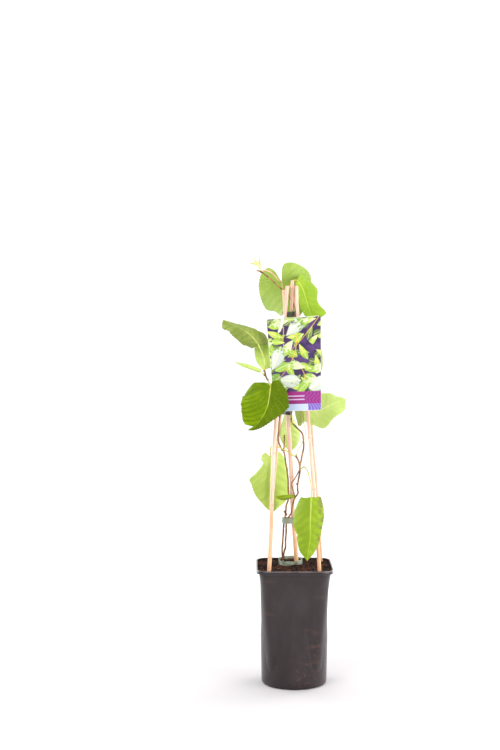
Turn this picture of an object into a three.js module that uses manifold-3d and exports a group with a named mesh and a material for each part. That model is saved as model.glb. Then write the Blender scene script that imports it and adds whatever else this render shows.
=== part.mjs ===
// A potted arctic kiwi: a young twining vine on a teepee of five bamboo canes, in a tall
// nursery pot that is square at the mouth and round at the foot, with a picture label
// strapped to the canes. Millimetres, +Z up, the front of the plant towards -Y. The origin
// is the middle of the pot's flat underside.

import * as THREE from 'three';
import { mergeVertices } from 'three/addons/utils/BufferGeometryUtils.js';
import Module from 'manifold-3d';

const wasm = await Module();
wasm.setup();

// Clearances between pieces that touch
const GAP = 0.35;
const SNUG = 0.3;

// Pot
const POT_HEIGHT = 214;
const LIP_HALF_WIDTH = 68.5;
const LIP_CORNER = 23;
const LIP_DROP = 6.5;
const LIP_WALL = 2.5;
const LEDGE_HEIGHT = 208.2;
const LEDGE_RISE = 0.7;
const NECK_HALF_WIDTH = 64;
const NECK_CORNER = 18;
const POT_WALL = 1.8;
const POT_FLOOR = 2.5;
const POT_FOOT_RADIUS = 54.5;
const DRAIN_RADIUS = 4;
const DRAIN_CIRCLE = 38;
const POINTS_PER_QUADRANT = 8;

// The pot's outside from the foot up: [height, half width, corner radius]
const POT_SECTIONS = [
  [0, POT_FOOT_RADIUS, POT_FOOT_RADIUS],
  [4, 58.8, 58.8],
  [90, 60.5, 58],
  [125, 59, 49],
  [150, 58.6, 40],
  [172, 60, 29],
  [190, 61.7, 22],
  [POT_HEIGHT - LIP_DROP, NECK_HALF_WIDTH, NECK_CORNER],
];

// Soil, and the round growing plug that the vine came in
const SOIL_TOP = 210.5;
const SOIL_BUMP = 1.1;
const SOIL_MARGIN = 0.6;
const PLUG_CENTRE = [-6, 30];
const SLEEVE_RADIUS = 22;
const SLEEVE_WALL = 1;
const SLEEVE_FOOT = 190;
const SLEEVE_TOP = 220.5;
const SLEEVE_TILT = 0.07;
const PLUG_SOIL_TOP = 216;

// Canes
const CANE_SIDES = 7;
const CANE_NODE_SPACING = 92;
const CANE_NODE_BULGE = 0.45;
const CANE_NODE_REACH = 4;

// Leaves
const BLADE_THICKNESS = 0.8;
const TOOTH = 0.8;
const TOOTH_SHARE = 0.04;
const BLADE_COLUMNS = 2;
const ROW_SLANT = 1.35;
const SHOULDER = 0.76;
const MIDRIB_REACH = 0.16;
const MIDRIB_END_RADIUS = 0.45;
const BITE_DEPTH = 100;

// Vine
const STEM_SIDES = 5;
const STEM_STEP = 14;
const STEM_FOOT_RADIUS = 1.6;
const STEM_TOP_RADIUS = 1.3;
const BUD_RADIUS = 2.1;

// Finishes
const finish = (color, roughness) => new THREE.MeshStandardMaterial({
  color,
  roughness,
  metalness: 0,
});
const BLACK_PLASTIC = 0x4a4542;
const POT_SOIL = 0x3a231a;
const SLEEVE_PAPER = 0xb9bfae;
const BAMBOO = 0xe6c6a6;
const TAPE = 0x45464a;
const TAPE_GREEN = 0x8a917c;
const LABEL = 0x7d6fa8;
const WHITE_STRAP = 0xf2f1ee;
const BARK = 0x8a6240;
const DARK_LEAF = 0x5f8022;
const GREEN_LEAF = 0x86ac3c;
const PALE_LEAF = 0xb6d66e;
const CREAM_TIP = 0xe9dcae;

// Solids and meshes

function toSolid(geometry) {
  const bare = geometry.clone();
  bare.deleteAttribute('normal');
  bare.deleteAttribute('uv');
  const merged = mergeVertices(bare, 1e-4);
  return new wasm.Manifold(new wasm.Mesh({
    numProp: 3,
    vertProperties: new Float32Array(merged.getAttribute('position').array),
    triVerts: new Uint32Array(merged.getIndex().array),
  }));
}

function toGeometry(solid) {
  const mesh = solid.getMesh();
  const geometry = new THREE.BufferGeometry();
  geometry.setAttribute('position', new THREE.BufferAttribute(mesh.vertProperties, 3));
  geometry.setIndex(new THREE.BufferAttribute(mesh.triVerts, 1));
  geometry.computeVertexNormals();
  return geometry;
}

function geometryFrom(points, triangles) {
  const geometry = new THREE.BufferGeometry();
  geometry.setFromPoints(points);
  geometry.setIndex(triangles.flat());
  return geometry;
}

function joined(solids) {
  return solids.reduce((whole, solid) => whole.add(solid));
}

// A mesh stands at its own anchor point, with its geometry measured from there
function meshAt(name, geometry, material, anchor) {
  const [x, y, z] = anchor;
  geometry.translate(-x, -y, -z);
  geometry.computeVertexNormals();
  const mesh = new THREE.Mesh(geometry, material);
  mesh.name = name;
  mesh.position.set(x, y, z);
  return mesh;
}

function curveThrough(points) {
  const vectors = points.map((point) => new THREE.Vector3(...point));
  return new THREE.CatmullRomCurve3(vectors, false, 'catmullrom', 0.5);
}

// A round stem along a path: a ring of points at each station, and a fan over each end
function sweep(points, stations, sides) {
  const path = curveThrough(points);
  const rings = stations(path.getLength());
  const vertices = [];
  let across = null;
  for (const { at, radius } of rings) {
    const centre = path.getPointAt(at);
    const along = path.getTangentAt(at);
    const side = across ?? new THREE.Vector3(0, 1, 0);
    across = side.clone().addScaledVector(along, -side.dot(along)).normalize();
    const up = new THREE.Vector3().crossVectors(along, across);
    for (let j = 0; j < sides; j++) {
      const angle = (2 * Math.PI * j) / sides;
      const vertex = centre.clone();
      vertex.addScaledVector(across, radius * Math.cos(angle));
      vertex.addScaledVector(up, radius * Math.sin(angle));
      vertices.push(vertex);
    }
  }
  return geometryFrom(vertices, tubeTriangles(vertices, rings.length, sides));
}

// Triangles of stacked rings, closed by a point in the middle of the first and last ring
function tubeTriangles(vertices, rings, sides) {
  const triangles = [];
  for (let i = 0; i + 1 < rings; i++) {
    for (let j = 0; j < sides; j++) {
      const a = i * sides + j;
      const b = i * sides + ((j + 1) % sides);
      triangles.push([a, b, b + sides], [a, b + sides, a + sides]);
    }
  }
  const middle = (first) => {
    const sum = new THREE.Vector3();
    for (let j = 0; j < sides; j++) sum.add(vertices[first + j]);
    return sum.divideScalar(sides);
  };
  const last = (rings - 1) * sides;
  const start = vertices.push(middle(0)) - 1;
  const end = vertices.push(middle(last)) - 1;
  for (let j = 0; j < sides; j++) {
    const next = (j + 1) % sides;
    triangles.push([start, next, j], [end, last + j, last + next]);
  }
  return triangles;
}

// Stations spaced evenly, with the radius running from one end's to the other's
function evenStations(first, last, step) {
  return (length) => {
    const count = Math.max(2, Math.round(length / step));
    return Array.from({ length: count + 1 }, (_, i) => {
      const at = i / count;
      return { at, radius: first + (last - first) * at };
    });
  };
}

// A thin sheet of even thickness on a surface: both faces are split into triangles alike,
// and a rim closes them along every open edge
function thicken(points, triangles, thickness) {
  const normals = points.map(() => new THREE.Vector3());
  const edges = new Set();
  for (const [a, b, c] of triangles) {
    const normal = new THREE.Vector3().subVectors(points[b], points[a]);
    normal.cross(new THREE.Vector3().subVectors(points[c], points[a]));
    for (const corner of [a, b, c]) normals[corner].add(normal);
    for (const [from, to] of [[a, b], [b, c], [c, a]]) edges.add(`${from},${to}`);
  }
  const half = thickness / 2;
  const count = points.length;
  const front = points.map((p, i) => p.clone().addScaledVector(normals[i].normalize(), half));
  const back = points.map((p, i) => p.clone().addScaledVector(normals[i], -half));
  const faces = [];
  for (const [a, b, c] of triangles) {
    faces.push([a, b, c], [c + count, b + count, a + count]);
    for (const [from, to] of [[a, b], [b, c], [c, a]]) {
      if (edges.has(`${to},${from}`)) continue;
      faces.push([to, from, from + count], [to, from + count, to + count]);
    }
  }
  return geometryFrom([...front, ...back], faces);
}

// Two triangles for each cell between neighbouring rows of points
function gridTriangles(rows, columns, first = 0) {
  const triangles = [];
  for (let i = 0; i + 1 < rows; i++) {
    for (let j = 0; j + 1 < columns; j++) {
      const a = first + i * columns + j;
      const c = a + columns;
      triangles.push([a, c, a + 1], [a + 1, c, c + 1]);
    }
  }
  return triangles;
}

// Pot: distance from the axis to a square with rounded corners, in the direction of angle
function roundedSquareReach(angle, halfWidth, corner) {
  const folded = Math.abs(((angle + Math.PI / 4) % (Math.PI / 2)) - Math.PI / 4);
  const flat = halfWidth - corner;
  if (halfWidth * Math.tan(folded) <= flat) return halfWidth / Math.cos(folded);
  const along = flat * (Math.cos(folded) + Math.sin(folded));
  return along + Math.sqrt(along * along - 2 * flat * flat + corner * corner);
}

// Directions round the pot, closer together at the corners
function potAngles() {
  const angles = [];
  for (let quadrant = 0; quadrant < 4; quadrant++) {
    for (let i = 0; i < POINTS_PER_QUADRANT; i++) {
      const q = (2 * i) / POINTS_PER_QUADRANT - 1;
      const turn = 1 + Math.sign(q) * Math.abs(q) ** 1.5;
      angles.push((quadrant * Math.PI) / 2 + (turn * Math.PI) / 4);
    }
  }
  return angles;
}

function potRing([height, halfWidth, corner], inset = 0) {
  return potAngles().map((angle) => {
    const reach = roundedSquareReach(angle, halfWidth, Math.min(corner, halfWidth)) - inset;
    return new THREE.Vector3(reach * Math.cos(angle), reach * Math.sin(angle), height);
  });
}

function stackedRings(rings) {
  const vertices = rings.flat();
  return geometryFrom(vertices, tubeTriangles(vertices, rings.length, rings[0].length));
}

function cylinderBetween(radius, x, y, low, high, sides = 24) {
  const cylinder = new THREE.CylinderGeometry(radius, radius, high - low, sides);
  cylinder.rotateX(Math.PI / 2);
  cylinder.translate(x, y, (low + high) / 2);
  return cylinder;
}

function sectionAt(height) {
  const above = POT_SECTIONS.findIndex(([level]) => level >= height);
  const [low, high] = [POT_SECTIONS[above - 1], POT_SECTIONS[above]];
  const share = (height - low[0]) / (high[0] - low[0]);
  return low.map((value, i) => value + (high[i] - value) * share);
}

// A ring on the inside of the pot's neck or of its lip, at a height of its own
function neckRing(height, inset) {
  return potRing([height, NECK_HALF_WIDTH, NECK_CORNER], inset);
}

function collarRing(height, inset = 0) {
  return potRing([height, LIP_HALF_WIDTH - LIP_WALL, LIP_CORNER - LIP_WALL], inset);
}

// The hollow inside the pot's wall: up to a narrow ledge, and wider from there past the lip
function potHollow() {
  const levels = [POT_FLOOR, 90, 125, 150, 172, 190];
  const rings = levels.map((level) => potRing(sectionAt(level), POT_WALL));
  rings.push(neckRing(LEDGE_HEIGHT, POT_WALL), collarRing(LEDGE_HEIGHT + LEDGE_RISE));
  rings.push(collarRing(POT_HEIGHT + 1));
  return stackedRings(rings);
}

function buildPot() {
  const lipUnder = POT_HEIGHT - LIP_DROP;
  const rings = POT_SECTIONS.map((section) => potRing(section));
  rings.push(potRing([lipUnder, LIP_HALF_WIDTH - 0.6, LIP_CORNER - 0.6]));
  rings.push(potRing([lipUnder + 0.6, LIP_HALF_WIDTH, LIP_CORNER]));
  rings.push(potRing([POT_HEIGHT - 1, LIP_HALF_WIDTH, LIP_CORNER]));
  rings.push(potRing([POT_HEIGHT, LIP_HALF_WIDTH - 1, LIP_CORNER - 1]));
  let pot = toSolid(stackedRings(rings)).subtract(toSolid(potHollow()));
  for (const turn of [1, 3, 5, 7]) {
    const x = DRAIN_CIRCLE * Math.cos((turn * Math.PI) / 4);
    const y = DRAIN_CIRCLE * Math.sin((turn * Math.PI) / 4);
    pot = pot.subtract(toSolid(cylinderBetween(DRAIN_RADIUS, x, y, -1, POT_FLOOR + 1, 12)));
  }
  return pot;
}

// Canes: the visible stretch of each from the soil up, and the foot pushed into the soil
const CANES = {
  cane_front_left: {
    foot: [-45, -44, 168],
    points: [[-46, -45, 200], [-43, -38, 265], [-40, -30, 353], [-36, -23, 442],
      [-17, -8, 670], [-13, -5, 716]],
    radii: [3.6, 3.3],
    firstNode: 68,
  },
  cane_front_right: {
    foot: [43, -44, 168],
    points: [[44, -45, 200], [40, -40, 266], [34, -32, 354], [27, -25, 442],
      [15, -14, 584], [5, -8, 670], [3, -7, 716]],
    radii: [3.3, 3],
    firstNode: 96,
  },
  cane_back_left: {
    foot: [-43, 48, 176],
    points: [[-44, 50, 211], [-39, 38, 326], [-31, 28, 419], [-26, 22, 465],
      [-15, 11, 592], [-6, 3, 671], [-4, 0, 726]],
    radii: [3, 2.7],
    firstNode: 80,
  },
  cane_back_right: {
    foot: [49, 47, 186],
    points: [[51, 49, 211], [43, 38, 344], [35, 28, 433], [27, 19, 520],
      [16, 12, 592], [3, 8, 670], [0, 8, 720]],
    radii: [2.9, 2.6],
    firstNode: 60,
  },
  cane_centre: {
    foot: [12, 35, 120],
    points: [[5, 22, 214], [2, 16, 256], [-3, 7, 321], [-5, 2, 376], [-9, -2, 440],
      [-11, -3, 467], [-15, 0, 566], [-17, 2, 670], [-19, 4, 709]],
    radii: [4.1, 3.3],
    firstNode: 72,
  },
};

function caneStations(radii, firstNode, extra) {
  return (length) => {
    const radiusAt = (distance) => radii[0] + ((radii[1] - radii[0]) * distance) / length;
    const rings = [0];
    const between = CANE_NODE_SPACING / 2;
    for (let node = firstNode; node < length + between; node += CANE_NODE_SPACING) {
      rings.push(node - between, node - CANE_NODE_REACH, node, node + CANE_NODE_REACH);
    }
    const inside = rings.filter((distance) => distance >= 0 && distance < length - 1);
    return [...inside, length].map((distance) => {
      const isNode = (distance - firstNode) % CANE_NODE_SPACING === 0 && distance !== length;
      const bulge = isNode ? CANE_NODE_BULGE : 0;
      return { at: distance / length, radius: radiusAt(distance) + bulge + extra };
    });
  };
}

function buildCane({ foot, points, radii, firstNode }, extra = 0) {
  const [x, y, z] = foot;
  const route = [[x, y, z - extra], ...points];
  return toSolid(sweep(route, caneStations(radii, firstNode, extra), CANE_SIDES));
}

function canePoint(name, height) {
  const { foot, points, radii } = CANES[name];
  const path = curveThrough([foot, ...points]);
  let [low, high] = [0, 1];
  for (let i = 0; i < 30; i++) {
    const middle = (low + high) / 2;
    if (path.getPointAt(middle).z < height) low = middle;
    else high = middle;
  }
  const { x, y } = path.getPointAt(low);
  return { x, y, radius: radii[0] + (radii[1] - radii[0]) * low };
}

// Vine: two stems from one crown in the plug, twining up the canes, with buds and scars
const CROWN = [-18, 34, 186];
const STEM_LEFT = [CROWN, [-20, 35, 217], [-21, 30, 235], [-20, 24, 254], [-19, 17, 274],
  [-18, 12, 289], [-16, 9, 301], [-15, 8, 310], [-14, 7, 321], [-11, 4, 330], [-10, 0, 340],
  [-11, -2, 353], [-11, -3, 364], [-12, -3, 375], [-13, -2, 386], [-15, 0, 396],
  [-18, 3, 416], [-22, 6, 422], [-25, 8, 427], [-28, 11, 435], [-29, 14, 442],
  [-28, 15, 456], [-27, 11, 473], [-26, 7, 484], [-26, 4, 495], [-30, -1, 512], [-37, -8, 527],
  [-43, -14, 540], [-48, -16, 548], [-51, -18, 554], [-54, -20, 566]];
const STEM_RIGHT = [CROWN, [-19, 31, 218], [-17, 27, 234], [-15, 24, 241], [-15, 20, 255],
  [-14, 15, 271], [-14, 10, 286], [-12, 6, 296], [-8, 1, 303], [-5, 0, 308], [-4, -1, 317],
  [-2, -2, 326], [1, -3, 335], [4, -4, 340], [7, -4, 344], [6, -4, 350], [6, -4, 359],
  [8, -4, 372], [10, -5, 383], [10, -6, 395], [12, -5, 402], [14, -4, 413], [16, -4, 422],
  [17, -4, 431], [16, -4, 442], [15, -5, 450], [12, -6, 455], [7, -8, 460], [1, -9, 466],
  [-5, -10, 473], [-6, -10, 482], [-5, -9, 494], [-6, -8, 512], [-8, -8, 548],
  [-9, -7, 584], [-7, -5, 620], [-3, -3, 646], [2, -1, 670], [0, 3, 678], [-3, 7, 686],
  [-7, 8, 692], [-11, 9, 700], [-15, 10, 705], [-19, 10, 708], [-22, 9, 710],
  [-26, 7, 713], [-35, 3, 721], [-44, 0, 729], [-53, -3, 736], [-59, -5, 741],
  [-65, -6, 743], [-68, -5, 744]];
const SIDE_SHOOTS = [
  { points: [[1, 1, 336], [-1, -3, 346], [-4, -5, 355], [-5, -6, 362], [-2, -7, 367],
    [3, -7, 375], [8, -7, 384], [10, -6, 391]], radii: [1.2, 1.2] },
  { points: [[10, -6, 388], [8, -7, 401], [6, -8, 406], [3, -9, 411]], radii: [1.3, 1.5] },
  { points: [[-19, 4, 419], [-18, 1, 436], [-18, 0, 449]], radii: [1.5, 1.3] },
];
const BUDS = [[-17, 7.5, 309], [-14, 7, 304], [5, -5, 361], [-54, -19, 558], [-54, -20, 565],
  [-48, -16, 549], [-6, -11, 478], [10, -6, 389], [3, -9, 411], [-22, 6, 422],
  [-60, -5, 741], [-15, 10, 705]];

function buildVine(extra = 0) {
  const stem = (points, first, last) => {
    return toSolid(sweep(points, evenStations(first + extra, last + extra, STEM_STEP), STEM_SIDES));
  };
  const solids = [
    stem(STEM_LEFT, STEM_FOOT_RADIUS, STEM_TOP_RADIUS),
    stem(STEM_RIGHT, STEM_FOOT_RADIUS, STEM_TOP_RADIUS),
  ];
  for (const { points, radii } of SIDE_SHOOTS) solids.push(stem(points, radii[0], radii[1]));
  for (const [x, y, z] of BUDS) {
    const bud = new THREE.IcosahedronGeometry(BUD_RADIUS + extra, 0);
    solids.push(toSolid(bud.translate(x, y, z)));
  }
  const crown = new THREE.IcosahedronGeometry(4 + extra, 1);
  solids.push(toSolid(crown.translate(...CROWN)));
  return joined(solids);
}

// Soil: fills the pot, with a plain hole for each cane and stem and a slot for the sleeve
function soilHeight(x, y) {
  return SOIL_TOP + SOIL_BUMP * Math.sin(x / 9 + 1) * Math.cos(y / 11 - 0.5)
    + 0.4 * SOIL_BUMP * Math.sin(x / 4.3 + y / 5.1);
}

function buildSoil(rootSpace) {
  const inset = POT_WALL + SOIL_MARGIN;
  const overLedge = LEDGE_HEIGHT + LEDGE_RISE + SNUG;
  const levels = [POT_FLOOR + SNUG, 90, 125, 150, 172, 190];
  const rings = levels.map((level) => potRing(sectionAt(level), inset));
  rings.push(neckRing(LEDGE_HEIGHT + SNUG, inset), collarRing(overLedge, SOIL_MARGIN));
  const edge = collarRing(SOIL_TOP, SOIL_MARGIN);
  for (const share of [1, 0.76, 0.48, 0.2]) {
    rings.push(edge.map(({ x, y }) => {
      const height = soilHeight(x * share, y * share);
      return new THREE.Vector3(x * share, y * share, Math.max(height, overLedge + SNUG));
    }));
  }
  const [x, y] = PLUG_CENTRE;
  const slotOuter = SLEEVE_RADIUS + GAP;
  const plugRadius = SLEEVE_RADIUS - SLEEVE_WALL - GAP;
  const plug = new THREE.LatheGeometry([
    new THREE.Vector2(0, SLEEVE_FOOT - 6),
    new THREE.Vector2(plugRadius, SLEEVE_FOOT - 6),
    new THREE.Vector2(plugRadius, PLUG_SOIL_TOP - 0.5),
    new THREE.Vector2(plugRadius * 0.7, PLUG_SOIL_TOP + 0.6),
    new THREE.Vector2(plugRadius * 0.35, PLUG_SOIL_TOP),
    new THREE.Vector2(0, PLUG_SOIL_TOP + 0.4),
  ], 24);
  plug.rotateX(Math.PI / 2);
  plug.translate(x, y, 0);
  return toSolid(stackedRings(rings))
    .subtract(toSolid(cylinderBetween(slotOuter, x, y, SLEEVE_FOOT - GAP, POT_HEIGHT, 32)))
    .add(toSolid(plug))
    .subtract(rootSpace);
}

function buildSleeve() {
  const inner = SLEEVE_RADIUS - SLEEVE_WALL;
  const wall = new THREE.LatheGeometry([
    new THREE.Vector2(inner, SLEEVE_FOOT),
    new THREE.Vector2(SLEEVE_RADIUS, SLEEVE_FOOT),
    new THREE.Vector2(SLEEVE_RADIUS, SLEEVE_TOP),
    new THREE.Vector2(inner, SLEEVE_TOP),
    new THREE.Vector2(inner, SLEEVE_FOOT),
  ], 32);
  wall.rotateX(Math.PI / 2);
  const position = wall.getAttribute('position');
  for (let i = 0; i < position.count; i++) {
    if (position.getZ(i) > SLEEVE_FOOT + 1) {
      position.setZ(i, position.getZ(i) + SLEEVE_TILT * position.getY(i));
    }
  }
  wall.translate(PLUG_CENTRE[0], PLUG_CENTRE[1], 0);
  return toSolid(wall);
}

// Ties and the label's strap: a band drawn tight round a group of upright rods
function band(rods, clearance, wall, low, high) {
  const directions = 24;
  const outline = (extra) => Array.from({ length: directions }, (_, i) => {
    const angle = (2 * Math.PI * i) / directions;
    const reach = (rod) => rod.x * Math.cos(angle) + rod.y * Math.sin(angle) + rod.radius;
    const rod = rods.reduce((best, other) => (reach(other) > reach(best) ? other : best));
    const radius = rod.radius + extra;
    return new THREE.Vector2(rod.x + radius * Math.cos(angle), rod.y + radius * Math.sin(angle));
  });
  const shape = new THREE.Shape(outline(clearance + wall));
  shape.holes.push(new THREE.Path(outline(clearance)));
  const geometry = new THREE.ExtrudeGeometry(shape, { depth: high - low, bevelEnabled: false });
  return toSolid(geometry.translate(0, 0, low));
}

function rodsBetween(names, low, high) {
  return names.flatMap((name) => [canePoint(name, low), canePoint(name, high)]);
}

const TAPE_WALL = 0.9;
const TAPES = {
  tape_top: {
    canes: ['cane_centre', 'cane_back_left', 'cane_back_right'],
    stems: [],
    low: 660.5,
    high: 670.5,
    color: TAPE,
  },
  tape_middle: {
    canes: ['cane_centre', 'cane_back_left'],
    stems: [],
    low: 485.5,
    high: 493,
    color: TAPE,
  },
  tape_bottom: {
    canes: ['cane_centre'],
    stems: [[-18.2, 12.2], [-16.6, 9.6], [-14, 9.4], [-11.2, 5], [-10.2, 4]],
    low: 288,
    high: 297.5,
    color: TAPE_GREEN,
  },
};

function buildTape({ canes, stems, low, high }) {
  const rods = rodsBetween(canes, low, high);
  for (const [x, y] of stems) rods.push({ x, y, radius: STEM_FOOT_RADIUS + 0.3 });
  return band(rods, 2 * GAP, TAPE_WALL, low, high);
}

// Label: a thin card with rounded corners, bowed and twisted, with a slot near its top
const CARD = {
  topLeft: [-51, -24, 657],
  topRight: [46, -24, 663],
  bottomRight: [46, -44, 497],
  bottomLeft: [-36, -30, 494],
  height: 165,
  corner: 5,
  bow: 3,
  thickness: 0.8,
};
const SLOT_CENTRE = [-5, -25, 652];
const SLOT_SIZE = [10, 8, 2.6];
const STRAP_WIDTH = 6.5;
const STRAP_THICKNESS = 0.8;

function cardPoint(u, v, inset = 0) {
  const mix = (a, b, share) => a.map((value, i) => value + (b[i] - value) * share);
  const top = mix(CARD.topLeft, CARD.topRight, u);
  const bottom = mix(CARD.bottomLeft, CARD.bottomRight, u);
  const [x, y, z] = mix(top, bottom, v);
  const bulge = CARD.bow * (1 - (2 * u - 1) ** 2);
  return new THREE.Vector3(x + (u < 0.5 ? inset : -inset), y - bulge, z);
}

function buildCard() {
  const { corner, height } = CARD;
  const nearEdge = [0, 0.15 * corner, 0.5 * corner, corner];
  const rows = [...nearEdge];
  for (let i = 1; i < 7; i++) rows.push(corner + ((height - 2 * corner) * i) / 7);
  rows.push(...nearEdge.map((distance) => height - distance).reverse());
  const columns = 7;
  const points = [];
  for (const distance of rows) {
    const edge = Math.max(0, corner - Math.min(distance, height - distance));
    const inset = corner - Math.sqrt(corner * corner - edge * edge);
    for (let j = 0; j < columns; j++) {
      const u = j / (columns - 1);
      const isSide = j === 0 || j === columns - 1;
      points.push(cardPoint(u, distance / height, isSide ? inset : 0));
    }
  }
  const sheet = thicken(points, gridTriangles(rows.length, columns), CARD.thickness);
  const slot = new THREE.BoxGeometry(...SLOT_SIZE).translate(...SLOT_CENTRE);
  return toSolid(sheet).subtract(toSolid(slot));
}

// The strap goes round all five canes, with one end through the slot and the other over
// the card's top edge and down its face
function ribbon(path, width, thickness, across = [1, 0, 0]) {
  const points = path.flatMap((point) => [-0.5, 0.5].map((side) => {
    return new THREE.Vector3(...point).addScaledVector(new THREE.Vector3(...across), side * width);
  }));
  return toSolid(thicken(points, gridTriangles(path.length, 2), thickness));
}

function buildStrap() {
  const low = 650;
  const high = low + STRAP_WIDTH;
  const rods = rodsBetween(Object.keys(CANES), low, high);
  const ring = band(rods, 2 * GAP, STRAP_THICKNESS, low, high);
  const tail = [[-20, -13.6, 653], [-20, -17.5, 657], [-20.5, -21, 661.8], [-21, -24.5, 663.9],
    [-21.5, -27.8, 661.6], [-22.5, -28.5, 655], [-25, -29, 644], [-29, -29.5, 633]];
  const neck = [[-5, -12.8, 652], [-5, -18, 652], [-5, -25, 652], [-5, -30.5, 652]];
  const knot = new THREE.SphereGeometry(3, 10, 8);
  knot.scale(1.3, 0.5, 0.9);
  knot.translate(-5, -30.5, 652);
  return joined([
    ring,
    ribbon(tail, STRAP_WIDTH - 1, STRAP_THICKNESS, [1, 0, 0.12]),
    ribbon(neck, STRAP_WIDTH, STRAP_THICKNESS),
    toSolid(knot),
  ]);
}

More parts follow.
